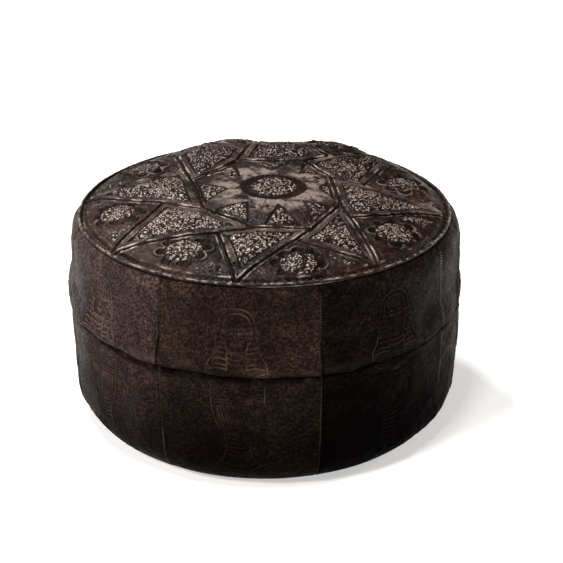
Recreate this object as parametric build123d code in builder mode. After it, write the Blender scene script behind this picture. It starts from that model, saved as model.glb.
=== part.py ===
from build123d import *
import os
from math import atan2, cos, degrees, radians, sin

# A round leather pouf: eight wall panels, a pieced star top sewn to them over a piped welt,
# and a base in two halves with a zip between them, round a bag of stuffing.
# Lengths are millimetres. +Z is up, the origin is the centre of the base on the floor,
# and the front faces -Y. An azimuth is in degrees from the front, turning to the right.

# Overall sizes
body_radius = 270
rim_radius = 250
rim_height = 286
crown_rise = 28
base_radius = 217

# Plies and seams
leather = 2
cloth = 0.8
ply_gap = 0.3
sewn_gap = 0.1
seam_gap = 1
seam_allowance = 8
thread_width = 0.6
thread_depth = 0.4
overrun = 20

# Wall panels
panel_count = 8
first_seam_azimuth = -30
base_corner_radius = 46
base_corner_turn = 85
shoulder_radius = 16
shoulder_turn = 70
# each place is (share of the body radius, share of the rim height)
fold_foot_shares = (0.993, 0.575)
crease_shares = (0.981, 0.592)
lip_shares = (1, 0.62)
lip_top_shares = (0.977, 0.72)

# Welt between the wall and the top
welt_bead_radius = 2.5
welt_cord_radius = 1.4
welt_cord_gap = 0.1
welt_ply = 0.8
welt_lift = 2.8

# Top: the dome's shoulder, as shares of the rim radius and of the crown's rise
top_shoulder_shares = (0.86, 0.5)
relief = 1.2
border_inset = 3
border_width = 6

# Seams of the star, as (share of the rim radius, azimuth)
octagon_corner_shares = [
    (0.563, 25.8),
    (0.447, 63.9),
    (0.413, 118.4),
    (0.477, 152.6),
    (0.450, 199.7),
    (0.441, 247.8),
    (0.412, 308.6),
    (0.502, 353.9),
]
# where each long seam meets the rim, and how far along its outer stretch a short seam leaves it
long_seam_azimuths = [308.7, 351.6, 34.3, 79.6, 128, 179, 214.6, 266]
branch_shares = [0.26, 0.24, 0.25, 0.28, 0.25, 0.30, 0.25, 0.32]
patch_overreach = 1.4

# Pressed motifs of the top
medallion_place_share = (0.05, 72)
medallion_radius = 30
medallion_ring_radius = 46
star_valley_radius = 60
star_tip_share = 0.92
rosette_radius = 30
petal_radius = 8
petal_count = 8
# (share of the rim radius, azimuth) of the rosette on each rim patch
rosette_shares = [
    (0.81, 330),
    (0.86, 11),
    (0.83, 53),
    (0.78, 101),
    (0.80, 150),
    (0.80, 195),
    (0.80, 239),
    (0.81, 286),
]

# Topstitching round the rim
topstitch_inset = 6
topstitch_count = 180
topstitch_width = 0.8
topstitch_height = 0.7
topstitch_share = 0.6

# Base and its channel for the zip
channel_half_width = 70
channel_roof_half_width = 20
channel_rise = 8.2
slot_half_width = 8
slot_half_length = 190

# Zip
zip_half_length = 168
tooth_pitch = 4
tooth_gap = 0.3
tooth_height = 3
tooth_reach = 1.2
tooth_back = 4.5
tape_edge = 2
tape_width = 16
tape_overlength = 12
tape_grip = 0.05
slider_length = 16
slider_clearance = 0.3
slider_plate = 1.6
slider_flange_gap = 0.7
slider_flange = 1.3
slider_slot = 1.6
slider_neck_length = 4
slider_neck_width = 3
stop_length = 4
stop_width = 2.5
stop_gap = 1

# Slider's crown and the pull tab that hangs in it
crown_width = 3
crown_post = 1.4
crown_gap_length = 5
crown_gap_height = 3.6
pull_bar = 1.6
pull_width = 9
pull_length = 26
pull_window_width = 4.4
pull_window_length = 6.5
pull_corner_radius = 3

# Stuffed shape inside the leather, clear of the turned-in seams
stuffing_base_corner = 80
stuffing_top_draw = 3.4
stuffing_base_draw = 2.4
stuffing_crown_clearance = 0.4
# (share of the rim radius, share of the crown's rise) where the stuffing's top corner begins
stuffing_shoulder_shares = (0.80, 0.44)
stuffing_top_corner_share = 0.84

# Places worked out from these sizes
top_height = rim_height + crown_rise
panel_angle = 360 / panel_count
seam_height = rim_height - welt_lift
wall_rim_radius = rim_radius + welt_ply + ply_gap
top_rim_radius = rim_radius - welt_ply - ply_gap
topstitch_radius = top_rim_radius - topstitch_inset
wall_base_radius = base_radius + ply_gap
thread_reach_low = seam_allowance
thread_reach_high = seam_height - seam_allowance
tape_bottom = channel_rise + leather + sewn_gap
chain_height = tape_bottom + cloth / 2
slider_inner_half_height = tooth_height / 2 + slider_clearance
slider_outer_half_height = slider_inner_half_height + slider_plate
slider_half_width = tooth_back + slider_flange_gap + slider_flange
slider_rest = zip_half_length + stop_gap + slider_neck_length - slider_length / 2
crown_bar_height = chain_height - slider_outer_half_height - crown_gap_height / 2
bag_roof = chain_height + slider_outer_half_height + ply_gap
stop_reach = 2 * stop_gap + slider_neck_length + stop_length / 2
stop_middle = tape_edge + stop_width / 2
lining_seam_height = stuffing_top_corner_share * rim_height
lining_foot_height = stuffing_base_corner

os.makedirs("parts", exist_ok=True)


def on_plan(share, azimuth):
    """A place on the plan by its share of the rim radius and its azimuth."""
    reach = share * rim_radius
    return Vector(reach * sin(radians(azimuth)), -reach * cos(radians(azimuth)))


def on_wall(shares):
    """A place on the wall's section, from shares of the body radius and the rim height."""
    return Vector(shares[0] * body_radius, shares[1] * rim_height)


def section_plane(azimuth):
    """The upright plane through the axis that faces along an azimuth."""
    return Plane(
        (0, 0, 0),
        x_dir=(sin(radians(azimuth)), -cos(radians(azimuth)), 0),
        z_dir=(-cos(radians(azimuth)), -sin(radians(azimuth)), 0),
    )


def along(start, end, share):
    """The place a share of the way from start to end."""
    return start + (end - start) * share


# Places where the star's seams meet
octagon_corners = [on_plan(*place) for place in octagon_corner_shares]
rim_ends = [on_plan(1, azimuth) for azimuth in long_seam_azimuths]
branches = [
    along(octagon_corners[k - 1], rim_ends[k], branch_shares[k]) for k in range(panel_count)
]
medallion_centre = on_plan(*medallion_place_share)


# Wall: one section, turned about the vertical axis for one panel's width

wall_middle = rim_height / 2
stuffing_reach = base_radius - seam_allowance


def wall_space(depth):
    """The section's space behind the wall's face, a depth in from its outer side."""
    inward = Vector(-depth, 0)
    with BuildLine() as outline:
        base_corner = JernArc(
            (wall_base_radius, depth), (1, 0), base_corner_radius - depth, base_corner_turn
        )
        fold_foot = on_wall(fold_foot_shares) + inward
        crease = on_wall(crease_shares) + inward
        lip = on_wall(lip_shares) + inward
        lip_top = on_wall(lip_top_shares) + inward
        TangentArc(base_corner @ 1, fold_foot, tangent=base_corner % 1)
        Line(fold_foot, crease)
        TangentArc(lip, crease, tangent=(0, -1))
        TangentArc(lip, lip_top, tangent=(0, 1))
        shoulder = CenterArc(
            (
                wall_rim_radius - shoulder_radius * cos(radians(shoulder_turn)),
                seam_height - shoulder_radius * sin(radians(shoulder_turn)),
            ),
            shoulder_radius - depth,
            0,
            shoulder_turn,
        )
        Line(lip_top, shoulder @ 0)
        Polyline(
            shoulder @ 1,
            ((shoulder @ 1).X, wall_middle),
            (stuffing_reach, wall_middle),
            (stuffing_reach, depth),
            base_corner @ 0,
        )
    return outline.line


with BuildSketch() as wall_section:
    make_face(wall_space(0).edges())
    with Locations((stuffing_reach, 0)):
        Rectangle(
            wall_base_radius - stuffing_reach,
            wall_middle,
            align=(Align.MIN, Align.MIN),
            mode=Mode.SUBTRACT,
        )
    make_face(wall_space(leather).edges(), mode=Mode.SUBTRACT)
    with Locations((wall_base_radius, leather / 2)):
        Rectangle(leather, seam_allowance, align=Align.MIN)
    with Locations((wall_rim_radius, seam_height - leather / 2)):
        Rectangle(leather, seam_allowance, align=(Align.MIN, Align.MAX))

gap_angle = degrees(seam_gap / body_radius)
for number in range(panel_count):
    seam_azimuth = first_seam_azimuth + panel_angle * number
    with BuildPart() as side_panel:
        with BuildSketch(section_plane(seam_azimuth + gap_angle / 2)):
            add(wall_section.sketch)
        revolve(axis=Axis.Z, revolution_arc=panel_angle - gap_angle)
    side_panel.part.label = f"side_panel_{number + 1}"
    export_step(side_panel.part, f"parts/side_panel_{number + 1}.step")


# Thread in the wall's seams: a strip inside each gap, between the panels' faces

with BuildSketch() as wall_thread_section:
    make_face(wall_space(thread_depth).edges())
    make_face(wall_space(leather - thread_depth).edges(), mode=Mode.SUBTRACT)
    with Locations((0, thread_reach_low)):
        Rectangle(
            body_radius,
            thread_reach_high - thread_reach_low,
            align=Align.MIN,
            mode=Mode.INTERSECT,
        )

with BuildPart() as side_seam_thread:
    for number in range(panel_count):
        seam_azimuth = first_seam_azimuth + panel_angle * number
        with BuildSketch(section_plane(seam_azimuth)):
            add(wall_thread_section.sketch)
        extrude(amount=thread_width / 2, both=True)

side_seam_thread.part.label = "side_seam_thread"
export_step(side_seam_thread.part, "parts/side_seam_thread.step")


# Welt: a leather strip folded over a cord, its tongue sewn between the top and the wall

with BuildPart() as top_welt:
    with BuildSketch(Plane.XZ):
        with Locations((rim_radius, rim_height)):
            Circle(welt_bead_radius)
            Rectangle(
                2 * welt_ply,
                welt_lift + seam_allowance,
                align=(Align.CENTER, Align.MAX),
            )
            Circle(welt_cord_radius + welt_cord_gap, mode=Mode.SUBTRACT)
    revolve(axis=Axis.Z)

top_welt.part.label = "top_welt"
export_step(top_welt.part, "parts/top_welt.step")

with BuildPart() as welt_cord:
    with BuildSketch(Plane.XZ):
        with Locations((rim_radius, rim_height)):
            Circle(welt_cord_radius)
    revolve(axis=Axis.Z)

welt_cord.part.label = "welt_cord"
export_step(welt_cord.part, "parts/welt_cord.step")


# Top: a domed leather, cut along the star's seams, with motifs pressed up from its back

def dome_space(lift):
    """The section under the top's face when the face is moved up by a lift."""
    face_height = top_height - relief + lift
    shoulder_height = seam_height + top_shoulder_shares[1] * (top_height - relief - seam_height)
    with BuildLine() as outline:
        crown = TangentArc(
            (0, face_height),
            (top_shoulder_shares[0] * rim_radius, shoulder_height + lift),
            tangent=(1, 0),
        )
        edge = TangentArc(crown @ 1, (top_rim_radius, seam_height + lift), tangent=crown % 1)
        Polyline(
            edge @ 1,
            (top_rim_radius, seam_height - seam_allowance),
            (0, seam_height - seam_allowance),
            crown @ 0,
        )
    return outline.line


with BuildPart() as domed_leather:
    with BuildSketch(Plane.XZ):
        make_face(dome_space(0).edges())
        make_face(dome_space(-leather).edges(), mode=Mode.SUBTRACT)
        with Locations((top_rim_radius, seam_height - leather / 2)):
            Rectangle(leather, seam_allowance, align=Align.MAX)
    revolve(axis=Axis.Z)

with BuildPart() as raised_leather:
    with BuildSketch(Plane.XZ):
        make_face(dome_space(relief).edges())
        make_face(dome_space(-leather / 2).edges(), mode=Mode.SUBTRACT)
    revolve(axis=Axis.Z)


def outline_sketch(points, reach):
    """A piece's outline on the plan, drawn in by half a seam and kept within a reach."""
    with BuildSketch() as outline:
        Polygon(*points, align=None)
        offset(amount=-seam_gap / 2)
        Circle(reach, mode=Mode.INTERSECT)
    return outline.sketch


def border_sketch(outline):
    """The pressed border that follows a piece's outline."""
    with BuildSketch(mode=Mode.PRIVATE) as inner:
        add(outline)
        offset(amount=-border_inset - border_width)
    with BuildSketch() as border:
        add(outline)
        offset(amount=-border_inset)
        add(inner.sketch, mode=Mode.SUBTRACT)
    return border.sketch


def pressed_piece(outline, raised):
    """One leather of the top, with the raised areas of its motif."""
    with BuildPart() as motif:
        add(raised_leather.part)
        with BuildSketch():
            add(raised)
        extrude(amount=top_height + overrun, mode=Mode.INTERSECT)
    with BuildPart() as piece:
        add(domed_leather.part)
        with BuildSketch():
            add(outline)
        extrude(amount=top_height + overrun, mode=Mode.INTERSECT)
        add(motif.part)
    return piece.part


# Centre octagon: a star of petals that point at its corners, round a medallion
with BuildSketch() as star:
    star_points = []
    for k in range(panel_count):
        corner = octagon_corners[k]
        side_middle = along(corner, octagon_corners[(k + 1) % panel_count], 0.5)
        inward = (side_middle - medallion_centre).normalized()
        star_points.append(along(medallion_centre, corner, star_tip_share))
        star_points.append(medallion_centre + inward * star_valley_radius)
    Polygon(*star_points, align=None)
    with Locations(medallion_centre):
        Circle(medallion_ring_radius, mode=Mode.SUBTRACT)
        Circle(medallion_radius)

centre_octagon = pressed_piece(outline_sketch(octagon_corners, rim_radius), star.sketch)
centre_octagon.label = "centre_octagon"
export_step(centre_octagon, "parts/centre_octagon.step")

# Star triangles and rim patches, in order round the star
for k in range(1, panel_count + 1):
    rim_end = rim_ends[k % panel_count]
    branch = branches[k - 1]
    triangle_outline = outline_sketch(
        [octagon_corners[k - 1], rim_end, branch, octagon_corners[k - 2]],
        top_rim_radius - leather - ply_gap,
    )
    star_triangle = pressed_piece(triangle_outline, border_sketch(triangle_outline))
    star_triangle.label = f"star_triangle_{k}"
    export_step(star_triangle, f"parts/star_triangle_{k}.step")

    patch_corners = [
        branch,
        along(branch, rim_ends[k - 1], patch_overreach),
        along(branch, rim_end, patch_overreach),
    ]
    patch_outline = outline_sketch(patch_corners, rim_radius)
    # the motif stays inside the row of topstitching
    stitched_outline = outline_sketch(patch_corners, topstitch_radius)
    with BuildSketch() as patch_field:
        add(stitched_outline)
        offset(amount=-border_inset)
    with BuildSketch() as patch_motif:
        with Locations(on_plan(*rosette_shares[k - 1])):
            Circle(rosette_radius - petal_radius / 2)
            with PolarLocations(rosette_radius - petal_radius / 2, petal_count):
                Circle(petal_radius)
        add(border_sketch(stitched_outline))
        add(patch_field.sketch, mode=Mode.INTERSECT)
    rim_patch = pressed_piece(patch_outline, patch_motif.sketch)
    rim_patch.label = f"rim_patch_{k}"
    export_step(rim_patch, f"parts/rim_patch_{k}.step")


# Thread in the star's seams: one net of strips inside the gaps between the leathers

seam_lines = []
for k in range(panel_count):
    seam_lines.append((octagon_corners[k], octagon_corners[k - 1]))
    seam_lines.append((octagon_corners[k - 1], rim_ends[k]))
    seam_lines.append((branches[k - 1], rim_ends[k]))

with BuildPart() as star_seam_thread:
    with BuildSketch(Plane.XZ):
        make_face(dome_space(-thread_depth).edges())
        make_face(dome_space(thread_depth - leather).edges(), mode=Mode.SUBTRACT)
    revolve(axis=Axis.Z)
    with BuildSketch():
        for start, end in seam_lines:
            run = end - start
            with Locations(Location(along(start, end, 0.5), (0, 0, degrees(atan2(run.Y, run.X))))):
                Rectangle(run.length + thread_width, thread_width)
        Circle(top_rim_radius - leather - ply_gap, mode=Mode.INTERSECT)
    extrude(amount=top_height, mode=Mode.INTERSECT)

star_seam_thread.part.label = "star_seam_thread"
export_step(star_seam_thread.part, "parts/star_seam_thread.step")


# Topstitching: short stitches on the top's face, just inside the welt

with BuildPart() as first_stitch:
    with BuildSketch(section_plane(0)):
        make_face(dome_space(ply_gap + topstitch_height).edges())
        make_face(dome_space(ply_gap).edges(), mode=Mode.SUBTRACT)
        with Locations((topstitch_radius, 0)):
            Rectangle(
                topstitch_width,
                top_height,
                align=(Align.CENTER, Align.MIN),
                mode=Mode.INTERSECT,
            )
    revolve(axis=Axis.Z, revolution_arc=topstitch_share * 360 / topstitch_count)

with BuildPart() as rim_topstitch:
    with PolarLocations(0, topstitch_count):
        add(first_stitch.part)

rim_topstitch.part.label = "rim_topstitch"
export_step(rim_topstitch.part, "parts/rim_topstitch.step")


# Base: two halves that lie on the floor and rise to the zip along the middle

def channel_space(lift):
    """The section under the base leather's lower face when it is moved up by a lift."""
    bend_middle = (channel_half_width + channel_roof_half_width) / 2
    with BuildLine() as outline:
        floor_line = Line((body_radius, lift), (channel_half_width, lift))
        lower_bend = TangentArc(
            floor_line @ 1, (bend_middle, channel_rise / 2 + lift), tangent=(-1, 0)
        )
        upper_bend = TangentArc(
            lower_bend @ 1,
            (channel_roof_half_width, channel_rise + lift),
            tangent=lower_bend % 1,
        )
        Polyline(
            upper_bend @ 1,
            (0, channel_rise + lift),
            (0, -overrun),
            (body_radius, -overrun),
            floor_line @ 0,
        )
    return outline.line


with BuildPart() as base_half_back:
    with BuildSketch(Plane.YZ.offset(-body_radius)):
        make_face(channel_space(leather).edges())
        make_face(channel_space(0).edges(), mode=Mode.SUBTRACT)
    extrude(amount=2 * body_radius)
    with BuildSketch():
        Circle(base_radius)
    extrude(amount=channel_rise + leather + overrun, mode=Mode.INTERSECT)
    with BuildSketch(Plane.XY.offset(leather / 2)):
        Circle(base_radius)
        Circle(base_radius - leather, mode=Mode.SUBTRACT)
        Rectangle(
            2 * body_radius,
            body_radius,
            align=(Align.CENTER, Align.MIN),
            mode=Mode.INTERSECT,
        )
    extrude(amount=seam_allowance)
    with BuildSketch():
        Rectangle(2 * slot_half_length, 2 * slot_half_width)
        Rectangle(2 * body_radius, seam_gap)
    extrude(amount=channel_rise + leather + overrun, mode=Mode.SUBTRACT)

base_half_back.part.label = "base_half_back"
export_step(base_half_back.part, "parts/base_half_back.step")

with BuildPart() as base_half_front:
    mirror(base_half_back.part, about=Plane.XZ)

base_half_front.part.label = "base_half_front"
export_step(base_half_front.part, "parts/base_half_front.step")


# Zip: two tapes with their rows of teeth, the stops, the slider and its pull tab

tape_length = 2 * (zip_half_length + tape_overlength)
tape_middle = tape_edge + tape_width / 2
tooth_count = round(2 * zip_half_length / tooth_pitch)
tooth_length = tooth_pitch / 2 - tooth_gap
tooth_width = tooth_back + tooth_reach
jaw_height = cloth + 2 * tape_grip

for name, side in (("back", 1), ("front", -1)):
    with BuildPart() as zip_tape:
        with Locations((0, side * tape_middle, chain_height)):
            Box(tape_length, tape_width, cloth)
    zip_tape.part.label = f"zip_tape_{name}"
    export_step(zip_tape.part, f"parts/zip_tape_{name}.step")

    with BuildPart() as zip_teeth:
        row_middle = side * (tooth_back - tooth_reach) / 2
        with Locations((side * tooth_pitch / 4, row_middle, chain_height)):
            with GridLocations(tooth_pitch, 0, tooth_count, 1):
                Box(tooth_length, tooth_width, tooth_height)
        with Locations((0, side * tape_middle - side * tape_grip, chain_height)):
            Box(tape_length, tape_width, jaw_height, mode=Mode.SUBTRACT)
    zip_teeth.part.label = f"zip_teeth_{name}"
    export_step(zip_teeth.part, f"parts/zip_teeth_{name}.step")

# Top stops: one clip on each tape, beyond the slider when the zip is closed
with BuildPart() as zip_top_stops:
    with Locations((zip_half_length + stop_reach, 0, chain_height)):
        with GridLocations(0, 2 * stop_middle, 1, 2):
            Box(stop_length, stop_width, tooth_height)
    with Locations((0, 0, chain_height)):
        with GridLocations(0, 2 * (tape_middle - tape_grip), 1, 2):
            Box(tape_length, tape_width, jaw_height, mode=Mode.SUBTRACT)

zip_top_stops.part.label = "zip_top_stops"
export_step(zip_top_stops.part, "parts/zip_top_stops.step")

# Bottom stop: one clip across both tapes at the other end of the teeth
with BuildPart() as zip_bottom_stop:
    with Locations((-zip_half_length - stop_gap - stop_length / 2, 0, chain_height)):
        Box(stop_length, 2 * (stop_middle + stop_width / 2), tooth_height)
    with Locations((0, 0, chain_height)):
        with GridLocations(0, 2 * (tape_middle - tape_grip), 1, 2):
            Box(tape_length, tape_width, jaw_height, mode=Mode.SUBTRACT)

zip_bottom_stop.part.label = "zip_bottom_stop"
export_step(zip_bottom_stop.part, "parts/zip_bottom_stop.step")

# Slider: two plates joined by a neck at the front, flanges round the teeth, a crown below
slider_bottom = chain_height - slider_outer_half_height
with BuildPart() as zip_slider:
    with Locations((slider_rest, 0, chain_height)):
        Box(slider_length, 2 * slider_half_width, 2 * slider_outer_half_height)
        fillet(zip_slider.edges().filter_by(Axis.Z), slider_flange)
        Box(
            slider_length,
            2 * (slider_half_width - slider_flange),
            2 * slider_inner_half_height,
            mode=Mode.SUBTRACT,
        )
        Box(slider_length, 2 * slider_half_width, slider_slot, mode=Mode.SUBTRACT)
    with Locations((slider_rest + slider_length / 2, 0, chain_height)):
        Box(
            slider_neck_length,
            slider_neck_width,
            2 * slider_inner_half_height + slider_plate,
            align=(Align.MAX, Align.CENTER, Align.CENTER),
        )
    with Locations((slider_rest, 0, slider_bottom + slider_plate / 2)):
        Box(
            crown_gap_length + 2 * crown_post,
            crown_width,
            slider_plate / 2 + crown_gap_height + crown_post,
            align=(Align.CENTER, Align.CENTER, Align.MAX),
        )
    with Locations((slider_rest, 0, slider_bottom)):
        Box(
            crown_gap_length,
            crown_width,
            crown_gap_height,
            align=(Align.CENTER, Align.CENTER, Align.MAX),
            mode=Mode.SUBTRACT,
        )

zip_slider.part.label = "zip_slider"
export_step(zip_slider.part, "parts/zip_slider.step")

# Pull tab: a plate whose end bar passes through the crown, lying flat along the closed teeth
with BuildPart() as zip_pull:
    with BuildSketch(Plane.XY.offset(crown_bar_height - pull_bar / 2)) as tab:
        with Locations((slider_rest + pull_bar / 2, 0)):
            Rectangle(pull_length, pull_width, align=(Align.MAX, Align.CENTER))
            fillet(tab.vertices().group_by(Axis.X)[0], pull_corner_radius)
        with Locations((slider_rest - pull_bar / 2, 0)):
            Rectangle(
                pull_window_length,
                pull_window_width,
                align=(Align.MAX, Align.CENTER),
                mode=Mode.SUBTRACT,
            )
    extrude(amount=pull_bar)

zip_pull.part.label = "zip_pull"
export_step(zip_pull.part, "parts/zip_pull.step")


# Inside: linings behind the leather, a cotton bag, and the stuffing that fills it

def stuffed_shape(inset):
    """The stuffed shape inside the leather, drawn in all round by an inset."""
    lift = -leather - stuffing_crown_clearance - inset
    crown_top = top_height - relief
    shoulder = Vector(
        stuffing_shoulder_shares[0] * rim_radius,
        crown_top - stuffing_shoulder_shares[1] * (crown_top - seam_height) + lift,
    )
    waist = on_wall(crease_shares) + Vector(-leather - ply_gap - inset, 0)
    wall_top = Vector(waist.X - stuffing_top_draw, stuffing_top_corner_share * rim_height)
    floor_height = leather + ply_gap + inset
    corner_centre = Vector(
        waist.X - stuffing_base_draw - stuffing_base_corner + inset,
        floor_height + stuffing_base_corner - inset,
    )
    with BuildPart() as shape:
        with BuildSketch(Plane.XZ):
            with BuildLine():
                crown = TangentArc((0, crown_top + lift), shoulder, tangent=(1, 0))
                TangentArc(crown @ 1, wall_top, tangent=crown % 1)
                corner = CenterArc(corner_centre, stuffing_base_corner - inset, -90, 90)
                ThreePointArc(wall_top, waist, corner @ 1)
                Polyline(corner @ 0, (0, floor_height), crown @ 0)
            make_face()
        revolve(axis=Axis.Z)
        with BuildSketch(Plane.YZ.offset(-body_radius)):
            make_face(channel_space(floor_height).edges())
            Rectangle(
                channel_roof_half_width,
                bag_roof + inset,
                align=Align.MIN,
            )
            mirror(about=Plane.YZ)
        extrude(amount=2 * body_radius, mode=Mode.SUBTRACT)
    return shape.part


lining_back = cloth
bag_face = cloth + ply_gap
bag_back = bag_face + cloth
stuffing_face = bag_back + ply_gap

with BuildPart() as lining:
    add(stuffed_shape(0))
    add(stuffed_shape(lining_back), mode=Mode.SUBTRACT)

with BuildPart() as top_lining:
    add(lining.part)
    with BuildSketch(Plane.XY.offset(lining_seam_height + seam_gap / 2)):
        Circle(body_radius)
    extrude(amount=top_height, mode=Mode.INTERSECT)

top_lining.part.label = "top_lining"
export_step(top_lining.part, "parts/top_lining.step")

with BuildPart() as side_lining:
    add(lining.part)
    with BuildSketch(Plane.XY.offset(lining_seam_height - seam_gap / 2)):
        Circle(body_radius)
    extrude(amount=lining_foot_height - lining_seam_height, mode=Mode.INTERSECT)

side_lining.part.label = "side_lining"
export_step(side_lining.part, "parts/side_lining.step")

with BuildPart() as liner_bag:
    add(stuffed_shape(bag_face))
    add(stuffed_shape(bag_back), mode=Mode.SUBTRACT)

liner_bag.part.label = "liner_bag"
export_step(liner_bag.part, "parts/liner_bag.step")

with BuildPart() as stuffing:
    add(stuffed_shape(stuffing_face))

stuffing.part.label = "stuffing"
export_step(stuffing.part, "parts/stuffing.step")
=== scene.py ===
# %% [markdown]
# # A stuffed leather pouf
# A round pouf stands on a pale floor. Eight wall leathers, each pressed with a standing figure, are sewn
# to a pieced star top over a piped welt, and a zip closes the base. The imported model gives every piece
# its place and size. This lesson gives the leather its swell, its puckered seams, its pressed lines and
# its worn, waxed finish, with highlights and shade partly painted into its colour.

import math

import bmesh
import bpy
import numpy as np
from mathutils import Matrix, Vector


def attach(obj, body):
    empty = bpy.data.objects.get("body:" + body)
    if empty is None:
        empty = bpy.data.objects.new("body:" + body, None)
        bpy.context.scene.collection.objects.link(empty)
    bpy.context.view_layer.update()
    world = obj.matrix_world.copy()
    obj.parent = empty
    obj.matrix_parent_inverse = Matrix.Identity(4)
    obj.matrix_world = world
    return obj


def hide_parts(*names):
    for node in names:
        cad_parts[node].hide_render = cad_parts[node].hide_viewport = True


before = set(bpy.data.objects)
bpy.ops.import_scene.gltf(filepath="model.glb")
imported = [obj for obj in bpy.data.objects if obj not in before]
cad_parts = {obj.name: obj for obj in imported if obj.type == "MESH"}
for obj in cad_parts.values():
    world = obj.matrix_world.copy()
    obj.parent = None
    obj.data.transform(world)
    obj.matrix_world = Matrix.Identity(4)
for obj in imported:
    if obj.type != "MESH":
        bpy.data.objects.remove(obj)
scene = bpy.context.scene
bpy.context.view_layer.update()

# %% [markdown]
# ## Sizes
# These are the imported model's own sizes, in millimetres, because that is how a pouf maker measures.
# Every shape below is drawn in millimetres and brought to metres as its last step. An azimuth is in
# degrees from the front, turning to the right.

# %% The pouf's sizes
mm = 0.001
body_radius = 270.0
rim_radius = 250.0
rim_height = 286.0
seam_height = 283.2
leather = 2.0
seam_gap = 1.0
panel_count = 8
panel_angle = 360 / panel_count
first_seam_azimuth = -30.0
top_edge_radius = 248.9
topstitch_radius = 242.9


def on_plan(share, azimuth):
    """A place on the plan by its share of the rim radius and its azimuth."""
    turn = math.radians(azimuth)
    return np.array((share * rim_radius * math.sin(turn), -share * rim_radius * math.cos(turn)))


# %% [markdown]
# ## Camera
# The photograph looks down on the pouf by about 25 degrees from two metres away. The camera's place
# was worked out from the pouf's outline and the ellipse of its rim. An angle of view is enough: the
# lens has no shift and no depth of field.

# %% Camera
camera_distance = 2.098
camera_elevation = math.radians(29.45)
camera_pitch = math.radians(25.11)
camera_yaw = math.radians(0.713)
camera_view = math.radians(22)

camera_data = bpy.data.cameras.new("camera")
camera_data.angle = camera_view
camera = bpy.data.objects.new("camera", camera_data)
camera.location = (
    0,
    -camera_distance * math.cos(camera_elevation),
    camera_distance * math.sin(camera_elevation),
)
camera.rotation_euler = (math.pi / 2 - camera_pitch, 0, -camera_yaw)
scene.collection.objects.link(camera)
scene.camera = camera
print("camera at", [round(c, 3) for c in camera.location])

# %% [markdown]
# ## Lamps
# Dark leather is drawn by its highlights, so the lamps matter more than the colour. A lamp high behind
# the left side gives the glints on the star, one at the left front models the wall, a small one over
# the front fills it, and a low one at the right draws the thin lit strip on that side.

# %% Lamps
def lamp(name, place, target, size, power, colour=(1, 1, 1)):
    """A square soft lamp at a place, turned to a target."""
    data = bpy.data.lights.new(name, "AREA")
    data.size = size
    data.energy = power
    data.color = colour
    made = bpy.data.objects.new(name, data)
    made.location = place
    made.rotation_euler = (Vector(target) - Vector(place)).to_track_quat("-Z", "Y").to_euler()
    scene.collection.objects.link(made)


lamp("lamp_back_left", (-0.9, 1.15, 2.5), (-0.05, 0, 0.3), 0.5, 78)
lamp("lamp_left", (-1.9, -1.9, 2.3), (0, 0, 0.2), 0.6, 84, (1, 0.92, 0.86))
lamp("lamp_over_front", (-0.3, -0.9, 2.5), (0, -0.1, 0.25), 0.4, 24)
lamp("lamp_right_edge", (1.9, 0.7, 0.7), (0.25, 0, 0.15), 0.4, 11, (1, 0.86, 0.7))
print("lamps", [data.name for data in bpy.data.lights])

# %% [markdown]
# ## Shader helpers
# A shader is a tree of nodes joined by links. A few helpers keep each step to one line: an empty
# material, a node with its settings, a link, a sum on two values, and the output.

# %% Shader helpers
def new_material(name):
    """A node material that is still empty."""
    made = bpy.data.materials.new(name)
    made.use_nodes = True
    made.node_tree.nodes.clear()
    return made


def node(tree, kind, **settings):
    """A shader node with its settings; a setting whose name is a socket's goes to that socket."""
    made = tree.nodes.new(kind)
    for key, value in settings.items():
        if hasattr(made, key):
            setattr(made, key, value)
        else:
            made.inputs[key.replace("_", " ")].default_value = value
    return made


def link(tree, source, target):
    """Joins an output socket to an input socket."""
    tree.links.new(source, target)


def maths(tree, operation, first, second=0.0):
    """A math node; each input may be a socket or a number."""
    made = tree.nodes.new("ShaderNodeMath")
    made.operation = operation
    for place, value in ((0, first), (1, second)):
        if isinstance(value, bpy.types.NodeSocket):
            link(tree, value, made.inputs[place])
        else:
            made.inputs[place].default_value = value
    return made.outputs[0]


def shown(tree, shader, kind="ShaderNodeOutputMaterial"):
    """The shader is what a material shows, or a world when the output is of that kind."""
    link(tree, shader, node(tree, kind).inputs[0])


# %% [markdown]
# ## Room
# The room is a pale cove under a dark ceiling, so the flat leather reflects the dark and only the
# raised grain catches a lamp. A colour ramp over the height of each direction paints it.

# %% World
world = bpy.data.worlds.new("studio")
world.use_nodes = True
scene.world = world
world_tree = world.node_tree
world_tree.nodes.clear()
direction = node(world_tree, "ShaderNodeTexCoord")
split = node(world_tree, "ShaderNodeSeparateXYZ")
height_tone = node(world_tree, "ShaderNodeValToRGB")
horizon, ceiling = height_tone.color_ramp.elements
horizon.position = 0.02
horizon.color = (0.9, 0.9, 0.9, 1)
ceiling.position = 0.3
ceiling.color = (0.105, 0.095, 0.088, 1)
height_tone.color_ramp.elements.new(0.09).color = (0.24, 0.222, 0.208, 1)
room = node(world_tree, "ShaderNodeBackground", Strength=1.0)
link(world_tree, direction.outputs["Generated"], split.inputs[0])
link(world_tree, split.outputs["Z"], height_tone.inputs[0])
link(world_tree, height_tone.outputs[0], room.inputs[0])
shown(world_tree, room.outputs[0], "ShaderNodeOutputWorld")
print("the room has", len(height_tone.color_ramp.elements), "tones from the horizon up")

# %% [markdown]
# ## Floor
# The studio's floor is so bright that it burns out to white. A white paint with some light of its own
# looks the same and still takes the pouf's shadow. The glow rises with the distance, so the far floor
# melts into the room. Only the camera and mirror-like rays see it; to the leather the floor sends
# little light.

# %% Floor
glow_distances = (0.9, 2.6)
glow_strengths = (0.5, 0.95)
floor_radius = 12

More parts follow.
